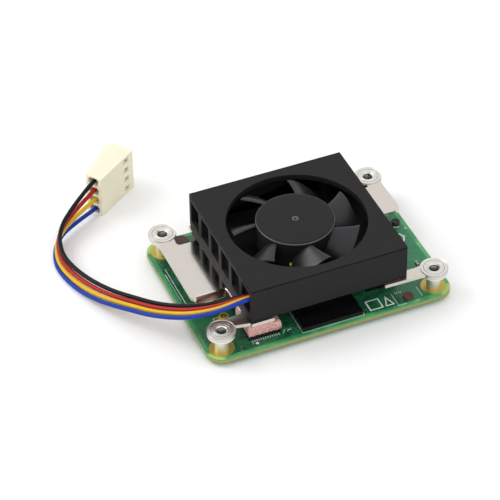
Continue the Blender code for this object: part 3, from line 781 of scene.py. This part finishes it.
def make_print():
    """The white print: outlines round the parts, and a plain square and triangle."""
    shape = bmesh.new()
    low, high = BOARD_TOP - 0.01, BOARD_TOP + INK
    lines = (
        ((-6.98, -8.8), (-6.98, -19.05), (6.98, -19.05), (6.98, -8.8)),
        ((14.7, -15.5), (14.7, -19.35), (16.5, -19.35)),
        ((18.6, -19.35), (19.5, -19.35)),
        ((20.5, -15.3), (20.5, -18.4)),
        ((-25.75, 10.9), (-25.75, -4.9)),
        ((-26.35, 9.2), (-26.35, 0.2)),
        ((20.2, 13.9), (25.5, 13.9), (25.5, 12.0)),
        ((-14.0, 19.2), (14.0, 19.2)),
        ((-22.3, -9.9), (-22.3, -7.6), (-21.6, -7.6)),
    )
    for points in lines:
        stroke(points, 0.11, low, high, shape)
    stroke(arc((23.3, 0.2), 1.7, 75, -68, 14), 0.34, low, high, shape)
    stroke([(24.0, 3.9), (25.6, 3.5)], 0.3, low, high, shape)
    for step in range(2):
        stroke([(26.8, -3.0 - 0.9 * step), (27.05, -3.2 - 0.9 * step)], 0.12, low, high, shape)
    square = [(8.7, -18.4), (11.5, -18.4), (11.5, -15.6), (8.7, -15.6)]
    stroke(square, 0.3, low, high, shape, closed=True)
    stroke([(12.3, -18.4), (14.0, -18.4), (13.15, -15.9)], 0.28, low, high, shape, closed=True)
    for step in range(4):
        stroke([(15.5 + 0.42 * step, -15.9), (15.6 + 0.42 * step, -15.3)], 0.1, low, high, shape)
    stroke([(-10.7, -17.5), (-10.0, -16.5)], 0.14, low, high, shape)
    stroke([(-9.6, -17.3), (-9.3, -16.8), (-8.9, -17.0), (-8.6, -16.5)], 0.14, low, high, shape)
    drum(-16.75, -18.1, low, high, 0.34, 0, 20, shape)
    make("board_print", shape, ("white_ink",), smooth=30)


def tracks(shape, start, run, spread, count, level, width=0.16):
    """Copper tracks side by side under the mask: they start along a row and follow one run."""
    for index in range(count):
        at = Vector(start) + Vector(spread) * index
        points = [at.copy()]
        for step in run:
            at += Vector(step)
            points.append(at.copy())
        stroke(points, width, level - 0.01, level + INK, shape)


def make_tracks():
    shape = bmesh.new()
    top = BOARD_TOP
    rows = (
        ((18.8, -13.6), ((2.2, 2.2), (0, 5.0), (2.4, 2.4)), (0.42, -0.1), 6),
        ((19.2, 1.4), ((1.5, -1.5), (0, -3.2), (-0.6, -0.6)), (0.4, 0.2), 5),
        ((-26.9, -11.0), ((0, 9.0), (0.3, 0.3), (0, 9.0)), (0.34, 0), 3),
        ((-9.8, -19.0), ((1.2, 1.2), (0, 1.5)), (0.36, -0.02), 5),
        ((-20.6, -16.0), ((2.2, 0), (0.8, -0.8)), (0, -0.36), 4),
        ((7.5, -14.2), ((1.6, 0), (0.7, 0.7), (3, 0)), (0, 0.36), 4),
        ((-18.0, 17.3), ((7.0, 0), (0.9, 0.9), (12.0, 0)), (0, 0.36), 4),
        ((4.0, 17.2), ((4.0, 0), (0.6, 0.6), (9.0, 0)), (0, 0.36), 3),
        ((21.6, -8.6), ((0, 2.6), (1.0, 1.0)), (0.4, 0), 3),
        ((-20.5, 13.4), ((0, 1.6), (0.8, 0.8)), (0.4, 0), 3),
    )
    for start, run, spread, count in rows:
        tracks(shape, start, run, spread, count, top)
    under = board_low.z - INK
    for start, run, spread, count in (
        ((-24.0, -9.0), ((8.0, 0), (4.0, 4.0), (10.0, 0)), (0, 0.5), 10),
        ((24.0, 9.5), ((-9.0, 0), (-5.0, -5.0), (-8.0, 0)), (0, -0.5), 9),
        ((-9.0, 14.5), ((0, -4.0), (-3.0, -3.0), (0, -6.0)), (0.5, 0), 8),
        ((9.0, -14.5), ((0, 3.0), (2.0, 2.0), (0, 6.0)), (-0.5, 0), 8),
    ):
        tracks(shape, start, run, spread, count, under, 0.2)
    make("copper_tracks", shape, ("track_mask",), smooth=30)


def make_vias():
    """Small plated holes, scattered over the free strips of the board and over its underside."""
    draw = random.Random(11)
    shape = bmesh.new()
    areas = (
        (18.6, -14.5, 27.0, -9.0, 9),
        (18.8, -5.0, 26.6, 2.6, 12),
        (-13.5, 17.4, 20.0, 19.4, 18),
        (-21.4, -19.2, -17.4, -17.6, 3),
        (-10.2, -18.8, -7.6, -16.0, 4),
        (7.4, -18.9, 8.1, -16.0, 2),
        (-26.9, -14.0, -26.4, 9.0, 5),
    )
    profile = [(0.13, 0.03), (0.24, 0.03), (0.24, -0.01), (0.13, -0.01)]
    for low_x, low_y, high_x, high_y, count in areas:
        for _ in range(count):
            centre = (draw.uniform(low_x, high_x), draw.uniform(low_y, high_y))
            turned([(r, BOARD_TOP + z) for r, z in profile], 12, centre, shape)
    for _ in range(60):
        centre = (draw.uniform(-22, 22), draw.uniform(-13.5, 13.5))
        turned([(r, board_low.z - z) for r, z in profile], 12, centre, shape)
    make("vias", shape, ("tin",))


def small_part(bodies, ends, x, y, length, width, height, upright, level, side=1):
    """A two-ended chip part, its body between tinned ends, standing on a face of the board."""
    turn = Matrix.Translation((x, y, 0)) @ Matrix.Rotation(math.radians(90 * upright), 4, "Z")
    half, cap = length / 2, length * 0.22
    low, high = sorted((level, level + side * height))
    inner_low, inner_high = sorted((level, level + side * height * 0.94))
    block(
        (-half + cap, -width * 0.48, inner_low), (half - cap, width * 0.48, inner_high), 0.02, 1, bodies, turn
    )
    for start, end in ((-half, -half + cap), (half - cap, half)):
        block((start, -width / 2, low), (end, width / 2, high), 0.05, 2, ends, turn)


def make_small_parts():
    draw = random.Random(7)
    tan, dark, ends = bmesh.new(), bmesh.new(), bmesh.new()
    placed = [
        (23.8, -9.0, 1.0, 0.5, 0.5, 1, tan),
        (22.4, -10.4, 1.0, 0.5, 0.35, 0, dark),
        (20.8, 6.8, 1.0, 0.5, 0.5, 0, tan),
        (19.6, -3.6, 1.0, 0.5, 0.5, 1, tan),
        (20.9, -0.9, 1.0, 0.5, 0.35, 1, dark),
        (22.0, 1.6, 1.6, 0.8, 0.7, 0, tan),
        (-20.9, 13.6, 1.6, 0.8, 0.7, 0, tan),
        (-18.9, 13.4, 1.0, 0.5, 0.5, 1, tan),
        (-21.9, -10.6, 1.0, 0.5, 0.5, 1, tan),
        (-19.2, -11.2, 1.0, 0.5, 0.35, 0, dark),
    ]
    for step in range(13):
        body = dark if step % 3 == 2 else tan
        placed.append((-12.5 + 2.45 * step, 18.4, 1.0, 0.5, 0.5 - 0.15 * (step % 3 == 2), step % 2, body))
    for x, y, length, width, height, upright, body in placed:
        small_part(body, ends, x, y, length, width, height, upright, BOARD_TOP)
    for row in range(5):
        for column in range(9):
            if draw.random() < 0.25:
                continue
            x, y = -20 + 5 * column + draw.uniform(-1, 1), -11 + 5.5 * row + draw.uniform(-1, 1)
            if abs(x) < 5.6 and abs(y) < 5.6:
                continue
            size = draw.choice(((1.0, 0.5, 0.5), (1.6, 0.8, 0.7), (0.6, 0.3, 0.3)))
            body = tan if draw.random() < 0.7 else dark
            small_part(body, ends, x, y, *size, draw.random() < 0.5, board_low.z, -1)
    make("capacitor_bodies", tan, ("ceramic",))
    make("resistor_bodies", dark, ("chip_black",))
    make("part_ends", ends, ("tin",))
    under = bmesh.new()
    block((-4.5, -4.5, 0.25), (4.5, 4.5, board_low.z), 0.06, 2, under)
    block((12.5, -2.0, 0.35), (17.5, 3.0, board_low.z), 0.06, 2, under)
    block((-18.5, -8.2, 0.4), (-15.0, -4.7, board_low.z), 0.06, 2, under)
    make("underside_chips", under, ("chip_black",))


CHIPS = ("memory_chip", "storage_chip", "power_controller", "network_chip", "hall_driver")


def make_chips():
    """Moulded chips with the dimple that marks their first pin, and the leads of the power chip."""
    for node in CHIPS:
        low, high = span(node)
        inset, radius = (0.9, 0.35) if high.x - low.x > 3 else (0.45, 0.15)
        body = block(low, high, 0.04 if node == "hall_driver" else 0.05, 2)
        hole = drum(low.x + inset, high.y - inset, high.z - 0.06, high.z + 1, radius, 0, 24)
        make(f"{node}_body", carved(body, cuts(hole)), ("chip_black",), stands_for=(node,))
    low, high = span("power_controller")
    leads = bmesh.new()
    for step in range(13):
        x = low.x + 0.62 + step * 0.49
        for y in (low.y - 0.3, high.y + 0.3):
            block((x - 0.085, y - 0.3, BOARD_TOP), (x + 0.085, y + 0.3, BOARD_TOP + 0.14), 0.04, 1, leads)
    make("power_chip_leads", leads, ("lead_tin",))
    low, high = span("processor_lid")
    lid = block(low, high, 0.3, 4)
    make("heat_spreader", lid, ("turned_nickel",), stands_for=("processor_lid",))
    low, high = span("wireless_shield")
    can = block(low, high, 0.35, 4)
    holes = [
        drum(low.x + 1.6 + 1.8 * i, low.y + 1.6 + 1.8 * j, high.z - 0.15, 9, 0.3, 0, 16)
        for i in range(5)
        for j in range(6)
    ]
    mesh = carved(can, cuts(*holes))
    make("shield_can", mesh, ("turned_nickel",), stands_for=("wireless_shield",))
    low, high = span("clock_crystal")
    lid = block(low, (high.x, high.y, high.z - 0.15), 0.12, 2)
    block((low.x + 0.3, low.y + 0.3, high.z - 0.2), (high.x - 0.3, high.y - 0.3, high.z), 0.08, 3, lid)
    make("crystal_can", lid, ("steel",), stands_for=("clock_crystal",))


def make_round_parts():
    """Drum inductors: a ferrite body with a flanged top and a wound waist."""
    for node, finish in (
        ("rear_inductor", "ferrite"),
        ("front_inductor", "red_brown"),
        ("side_inductor", "grey_ferrite"),
    ):
        low, high = span(node)
        middle, radius, tall = (low + high) / 2, (high.x - low.x) / 2, high.z - BOARD_TOP
        waist, rim = radius * 0.93, min(0.3, tall * 0.3)
        profile = [(0, high.z - 0.08), (radius * 0.55, high.z - 0.08), (radius * 0.7, high.z)]
        profile += arc((radius - 0.1, high.z - 0.1), 0.1, 90, 0, 3)
        profile += [(radius, high.z - rim), (waist, high.z - rim - 0.05), (waist, BOARD_TOP + rim + 0.05)]
        profile += [(radius, BOARD_TOP + rim), (radius, BOARD_TOP), (0, BOARD_TOP)]
        shape = turned(profile, 40, (middle.x, middle.y))
        make(f"{node}_drum", shape, (finish,), stands_for=(node,))
    low, high = span("antenna_connector")
    middle = (low + high) / 2
    x, y = middle.x, middle.y
    base = block((low.x, low.y, BOARD_TOP), (high.x, high.y, BOARD_TOP + 0.35), 0.06, 2)
    collar = [(0.72, BOARD_TOP + 0.3), (0.72, high.z), (0.95, high.z), (1.0, high.z - 0.08)]
    collar += [(1.0, high.z - 0.3), (0.94, high.z - 0.38), (1.0, high.z - 0.46), (1.0, BOARD_TOP + 0.3)]
    turned(collar, 36, (x, y), base)
    drum(x, y, BOARD_TOP + 0.3, high.z - 0.2, 0.2, 0.05, 16, base)
    make("antenna_socket", base, ("gold",), stands_for=("antenna_connector",))


def make_board_sockets():
    """The two connectors under the board, each with two rows of fifty contacts."""
    contacts = bmesh.new()
    for node in ("board_connector_front", "board_connector_back"):
        low, high = span(node)
        y = (low.y + high.y) / 2
        groove = block((low.x + 0.9, y - 0.55, low.z - 1), (high.x - 0.9, y + 0.55, low.z + 0.55))
        shell = block(low, (high.x, high.y, board_low.z))
        mesh = carved(shell, cuts(groove), 0.08, 2)
        make(f"{node}_shell", mesh, ("chip_black",), stands_for=(node,))
        for step in range(50):
            x = (low.x + high.x) / 2 + (step - 24.5) * 0.4
            for side in (-1, 1):
                inner, outer = sorted((y + side * 0.5, y + side * 0.58))
                block((x - 0.09, inner, 0.05), (x + 0.09, outer, 0.5), 0, 1, contacts)
                inner, outer = sorted((y + side * 1.4, y + side * 1.95))
                block((x - 0.09, inner, 0.88), (x + 0.09, outer, board_low.z), 0, 1, contacts)
    make("socket_contacts", contacts, ("gold",))


# ---------------------------------------------------------------- thermal pads


PAD_SWELL = 0.28
PAD_DROOP, PAD_DROOP_RUN = 1.0, 1.4  # how far a free end sinks, and over what run
POWER_PAD_FREE_FROM = -13.9  # the x where its droop begins


def make_thermal_pad(node, free_end=None):
    """A block of soft silicone, a little swollen at its sides and pitted all over.

    It droops past x = free_end, towards the end that no plate holds.
    """
    low, high = span(node)
    foot, head = low.z - 0.1, PLATE_BOTTOM
    middle, size = (low + high) / 2, high - low
    shape = block((low.x, low.y, foot), (high.x, high.y, head))
    cut = 0.3
    for axis, length in ((0, size.x), (1, size.y), (2, head - foot)):
        along = Vector([float(axis == each) for each in range(3)])
        count = max(2, int(length / cut))
        for step in range(1, count):
            place = Vector((low.x, low.y, foot)) + along * length * step / count
            geometry = list(shape.verts) + list(shape.edges) + list(shape.faces)
            bmesh.ops.bisect_plane(shape, geom=geometry, plane_co=place, plane_no=along, dist=0.0001)
    for vert in shape.verts:
        place = vert.co
        level = (place.z - foot) / (head - foot)
        out = Vector(((place.x - middle.x) / size.x * 2, (place.y - middle.y) / size.y * 2))
        at_side = max(abs(out.x), abs(out.y)) > 0.999
        corner_fall = 1 - 0.4 * min(abs(out.x), abs(out.y)) ** 12
        bulge = PAD_SWELL * (4 * level * (1 - level) - 1) * at_side * 0.8 + 0.12 * (corner_fall - 1)
        pit = 0.13 * noise.noise(place * 2.7) + 0.09 * noise.noise(place * 6.5)
        if at_side:
            push = Vector((out.x if abs(out.x) > 0.999 else 0, out.y if abs(out.y) > 0.999 else 0, 0))
            vert.co = place + push.normalized() * (bulge + pit - 0.08)
        if free_end is not None:
            past = min(1, max(0, (place.x - free_end) / PAD_DROOP_RUN))
            vert.co.z -= PAD_DROOP * past * past * (3 - 2 * past) * level
    make(f"{node}_block", shape, ("thermal_pink",), stands_for=(node,), smooth=70)


# ---------------------------------------------------------------- bracket and standoffs


Z_TO_X = Matrix(((0, 0, 1, 0), (1, 0, 0, 0), (0, 1, 0, 0), (0, 0, 0, 1)))  # X to Y, Y to Z, Z to X
LIP_FRONT, LIP_BACK = -5.8, -4.85  # along Y


def plate_outline():
    """The bracket seen from above, anticlockwise from the front notch."""
    eye, edge = EYE_RADIUS, 18.0
    points = [(-12.6, -17.5), (-12.6, -15.6), (12.3, -15.6), (12.3, -17.6), (20.4, -17.75)]
    points += arc((HOLE_X, -HOLE_Y), eye, -152, 146, 48)
    points += [(20.3, -15.05), (edge, -15.0), (edge, 3.4)]
    points += corner((25.75, 3.4), 1.2, -90)
    points += [(25.75, 13.2)]
    points += arc((HOLE_X, HOLE_Y), eye, -38, 232, 44)
    points += [(22.6, 13.7), (22.4, 13.0), (edge, 13.0), (edge, 16.6), (-edge, 16.6)]
    points += arc((-edge - 0.8, 12.3), 0.8, 0, -90, 6)
    points += arc((-21.6, 12.4), 0.9, 270, 180, 6)
    points += arc((-HOLE_X, HOLE_Y), eye, -57, 222, 44)
    points += [(-26.0, 13.2)]
    points += corner((-26.0, LIP_FRONT), 1.2, 180, 8)[:-1]
    points += [(-25.3, LIP_BACK), (-18.15, LIP_BACK), (-edge, LIP_FRONT)]
    points += [(-edge, -13.2), (-edge - 0.4, -13.6)]
    points += arc((-HOLE_X, -HOLE_Y), eye, 66, 362, 48)
    points += [(-17.8, -17.0), (-17.6, -17.5)]
    return points


def make_bracket():
    """The plated sheet: its eyes, the turned-down lip, and the countersinks for the fan's screws."""
    steps = cuts(*(drum(x, y, 0, 9, 1.85, 0, 64) for x, y in HOLES))
    for boss in BOSSES:
        sink = drum(boss.x, boss.y, 0, PLATE_BOTTOM + 0.45, 1.35, 0, 24)
        steps += cuts(drum(boss.x, boss.y, 0, 9, 0.75, 0, 24), sink)
    plate = flat([plate_outline()], PLATE_BOTTOM, PLATE_TOP)
    mesh = carved(plate, steps, 0.13, 3, 50)
    make("bracket", mesh, ("nickel",), stands_for=("bracket_plate",), smooth=40)
    top, under, foot = PLATE_TOP, PLATE_BOTTOM, 3.9
    bent = [(LIP_BACK, under - 0.3), (LIP_BACK, top), (-4.93, top - 0.02), (-5.02, top - 0.1)]
    bent += [(-5.96, top - 1.42), (-6.0, top - 1.52), (-5.98, top - 1.7), (LIP_FRONT, top - 1.85)]
    bent += [(LIP_FRONT, foot), (-5.0, foot), (-5.0, top - 1.4)]
    lip = flat([bent[::-1]], -25.25, -18.2, 0.05)
    bmesh.ops.transform(lip, matrix=Z_TO_X, verts=lip.verts)
    rim = ((-18.3, -5.1), (-18.12, -5.6), (-18.05, -6.3), (-18.05, -9.6), (-18.05, -12.8))
    tube([(x, y, top - 0.24) for x, y in rim], 0.26, lip)
    lip.normal_update()
    # Painted reflection: the lip's large sloping face takes dark brown nickel, as the wires in front of it
    # would show in it.
    for face in lip.faces:
        sloping = -0.9 < face.normal.y < -0.7 and face.calc_area() > 1
        face.material_index = int(sloping)
    finishes = ("nickel", "lip_nickel")
    make("bracket_lip", lip, finishes, stands_for=("bracket_plate",), smooth=25)


RINGS = (1.66, 2.2)  # the radii of the rings that the tool left on each standoff's head
# the ring that is painted dark: painted shade in its groove
DARK_RING = RINGS[1]


def make_standoffs():
    """Turned standoffs: a threaded bore, rings left by the tool on the head, a flange and a post."""
    top = span("standoff_front_left")[1].z
    bore, crest = 1.03, 0.9
    profile = [(bore + 0.25, top)]
    for ring in RINGS:
        profile += [(ring - 0.05, top), (ring, top - 0.035), (ring + 0.05, top)]
    profile += [(2.88, top), (2.93, top - 0.03)]
    profile += [(2.93, PLATE_TOP + 0.14), (2.74, PLATE_TOP), (1.8, PLATE_TOP)]
    profile += [(1.8, 6.3), *arc((2.87, 6.22), 0.08, 90, 0, 4), *arc((2.87, 5.98), 0.08, 0, -90, 4)]
    profile += [(1.5, 5.9), (1.5, BOARD_TOP), (bore, BOARD_TOP)]
    level, pitch = 2.4, 0.4
    while level < top - 0.5:
        profile += [(bore, level), (crest, level + pitch / 2)]
        level += pitch
    profile += [(bore, level), (bore, top - 0.25)]
    for row in ("front", "rear"):
        for side in ("left", "right"):
            node = f"standoff_{row}_{side}"
            low, high = span(node)
            centre = ((low.x + high.x) / 2, (low.y + high.y) / 2)
            shape = turned(profile, 96, centre)
            shape.normal_update()
            for face in shape.faces:
                middle = face.calc_center_median()
                out = (middle.xy - Vector(centre)).length
                # Painted shade: the bore and the groove of the outer ring take the dark copy of the nickel.
                ringed = middle.z > top - 0.09 and abs(out - DARK_RING) < 0.06
                # Painted light: faces below the plate, in its shade, take the lighter copy of the nickel.
                below = middle.z < PLATE_BOTTOM
                face.material_index = 1 if out < bore or ringed else 2 * below
            finishes = ("turned_nickel", "thread", "post_nickel")
            make(f"{node}_turned", shape, finishes, stands_for=(node,), smooth=25)


# ---------------------------------------------------------------- fan

WALL = 0.9
ROOF = 1.3
INLET_RADIUS = 14.87
SLOT_PITCH = 5.53
SLOTS = 6
SLOT_BOTTOM, SLOT_TOP = 8.8, 14.1
SLOT_HALF, END_SLOT_EXTRA = 2.0, 0.1
END_SLOT_SHIFT = 0.125
GROOVE_BOTTOM, GROOVE_TOP, GROOVE_DEPTH = 0.5, 0.28, 0.18  # the first two are below the roof


def make_housing():
    """The square housing: an open inlet, six slots on the left, a fine groove below the roof."""
    low = Vector((housing_low.x, housing_low.y, PLATE_TOP))
    high = housing_high
    inner_x, inner_y, roof = high.x - WALL, high.y - WALL, high.z - ROOF
    steps = cuts(block((-inner_x, -inner_y, 0), (inner_x, inner_y, roof)))
    for boss in BOSSES:
        steps.append(("UNION", drum(boss.x, boss.y, low.z, roof + 0.3, 1.4, 0, 32)))
        steps += cuts(drum(boss.x, boss.y, 0, 12.5, 0.6, 0, 16))
    steps += cuts(drum(0, 0, roof - 1, high.z + 1, INLET_RADIUS, 0, 160))
    first = -SLOT_PITCH * (SLOTS - 1) / 2
    for index in range(SLOTS):
        at_end = index in (0, SLOTS - 1)
        middle = first + SLOT_PITCH * index
        middle += math.copysign(END_SLOT_SHIFT, middle) * at_end
        half = SLOT_HALF + END_SLOT_EXTRA * at_end
        foot, head = (low.x - 1, middle - half, SLOT_BOTTOM), (-inner_x + 1, middle + half, SLOT_TOP)
        steps += cuts(block(foot, head))
    foot = (low.x - 1, low.y - 1, high.z - GROOVE_BOTTOM)
    head = (high.x + 1, high.y + 1, high.z - GROOVE_TOP)
    groove, deep = block(foot, head), GROOVE_DEPTH
    core = block((low.x + deep, low.y + deep, 0), (high.x - deep, high.y - deep, 20))
    step = bmesh.new()
    step.from_mesh(carved(groove, cuts(core)))
    steps += cuts(step)
    mesh = carved(block(low, high), steps, 0.1, 2, 50)
    make("housing_shell", mesh, ("black_housing",), stands_for=("fan_housing",), smooth=40)


BLADES = 7
FIRST_BLADE = math.radians(65)
BLADE_SWEEP = math.radians(9)
BLADE_CHORD = math.radians(31)
BLADE_TIP = 13.5
BLADE_TOP = 15.15  # the level of the leading edge
BLADE_DROP, BLADE_BEND = 4.5, 1.7  # its fall towards the back, and how late that comes


def blade(turn, hub_radius):
    """One blade as a closed loft: level at its leading edge, steep behind, thin at both."""
    shape = bmesh.new()
    across, along = 10, 20
    root, tip = hub_radius - 0.35, BLADE_TIP
    rings = []
    for i in range(across + 1):
        out = i / across
        radius = root + (tip - root) * out
        upper, lower = [], []
        for j in range(along + 1):
            back = j / along
            rise = -4.6 * BLADE_BEND * max(back, 0.01) ** 0.7
            slope = rise / (-BLADE_CHORD * radius)
            normal = Vector((-slope, 1)).normalized()
            half = 0.27 * (1 - (2 * back - 1) ** 6) ** 0.5 * (1 - 0.45 * out) + 0.05
            for side, row in ((1, upper), (-1, lower)):
                angle = turn + BLADE_SWEEP * out - BLADE_CHORD * back + side * normal.x * half / radius
                height = BLADE_TOP - BLADE_DROP * back**BLADE_BEND + side * normal.y * half
                place = (AXIS.x + radius * math.cos(angle), AXIS.y + radius * math.sin(angle), height)
                row.append(shape.verts.new(place))
        rings.append(upper + lower[::-1])
    loft(shape, rings)
    return shape


def make_rotor():
    """The hub cap and its seven blades, one moulding that turns on the fan's axis."""
    top, bottom, radius, bore = ROTOR_TOP, 9.8, 8.35, 7.3
    profile = [(0, top - 0.3), (0.28, top - 0.3), (0.36, top - 0.12), (0.62, top - 0.05), (0.7, top - 0.01)]
    profile += [(0.95, top - 0.04), (1.1, top), (radius - 0.72, top), (radius - 0.4, top - 0.05)]
    profile += arc((radius - 0.25, top - 0.35), 0.25, 75, 0, 5)
    profile += [(radius, bottom + 0.15), (radius - 0.1, bottom), (bore, bottom), (bore, 14.7)]
    profile += [(1.6, 14.7), (1.6, 13.8), (0.6, 13.8), (0.6, 15.2), (0, 15.2)]
    hub = turned(profile, 120, AXIS.xy)
    steps = [("UNION", blade(FIRST_BLADE + math.tau * i / BLADES, radius)) for i in range(BLADES)]
    mesh = carved(hub, steps)
    for face in mesh.polygons:
        out, down = (face.center.xy - AXIS.xy).length, top - face.center.z
        # Painted highlight: the rounded edge of the hub's rim takes the lighter plastic, and so does the
        # slope round the centre dimple.
        lightened = (radius - 0.2 < out < radius + 0.02 and 0.14 < down < 0.36) or 0.3 < out < 0.66
        face.material_index = 2 if lightened else int(out > radius + 0.02)
    finishes = ("rotor_plastic", "blade_plastic", "rubbed_plastic")
    make("fan_impeller", mesh, finishes, "rotor", ("fan_rotor",), 38)


def make_motor_details():
    """The solder joints of the four wires on the motor board."""
    shape = bmesh.new()
    for index, path in enumerate(wire_paths()):
        at = path[0] / MM
        drum(at[0] + 0.3, at[1] + 0.3, 8.75, 9.1 - 0.02 * index, 0.45, 0.14, 20, shape)
    make("wire_solder", shape, ("tin",))


def make_putty():
    """A dab of balancing putty at the foot of the hub's skirt."""
    dab = bmesh.new()
    bmesh.ops.create_icosphere(dab, subdivisions=3, radius=0.6)
    for vert in dab.verts:
        vert.co *= 1 + 0.25 * noise.noise(vert.co * 2.5)
    bmesh.ops.scale(dab, vec=(1.0, 0.8, 0.75), verts=dab.verts)
    bmesh.ops.translate(dab, vec=(-4.35, -7.45, 10.75), verts=dab.verts)
    make("balancing_putty", dab, ("putty",), "rotor", smooth=80)


make_camera()
make_studio()
plug = make_plug()
make_wires()
make_board()
make_pads()
make_print()
make_tracks()
make_vias()
make_small_parts()
make_chips()
make_round_parts()
make_board_sockets()
for node in ("processor_pad", "wireless_pad", "storage_pad"):
    make_thermal_pad(node)
make_thermal_pad("power_pad", POWER_PAD_FREE_FROM)
make_bracket()
make_standoffs()
make_housing()
make_rotor()
make_motor_details()
make_putty()

# ---------------------------------------------------------------- plain nodes: materials by slot

for row in frame["record"]["subparts"]:
    node = frame["nodes"][row["node"]]
    if row["material_slot"] in LOOKS:
        node.data.materials.clear()
        node.data.materials.append(look(row["material_slot"]))
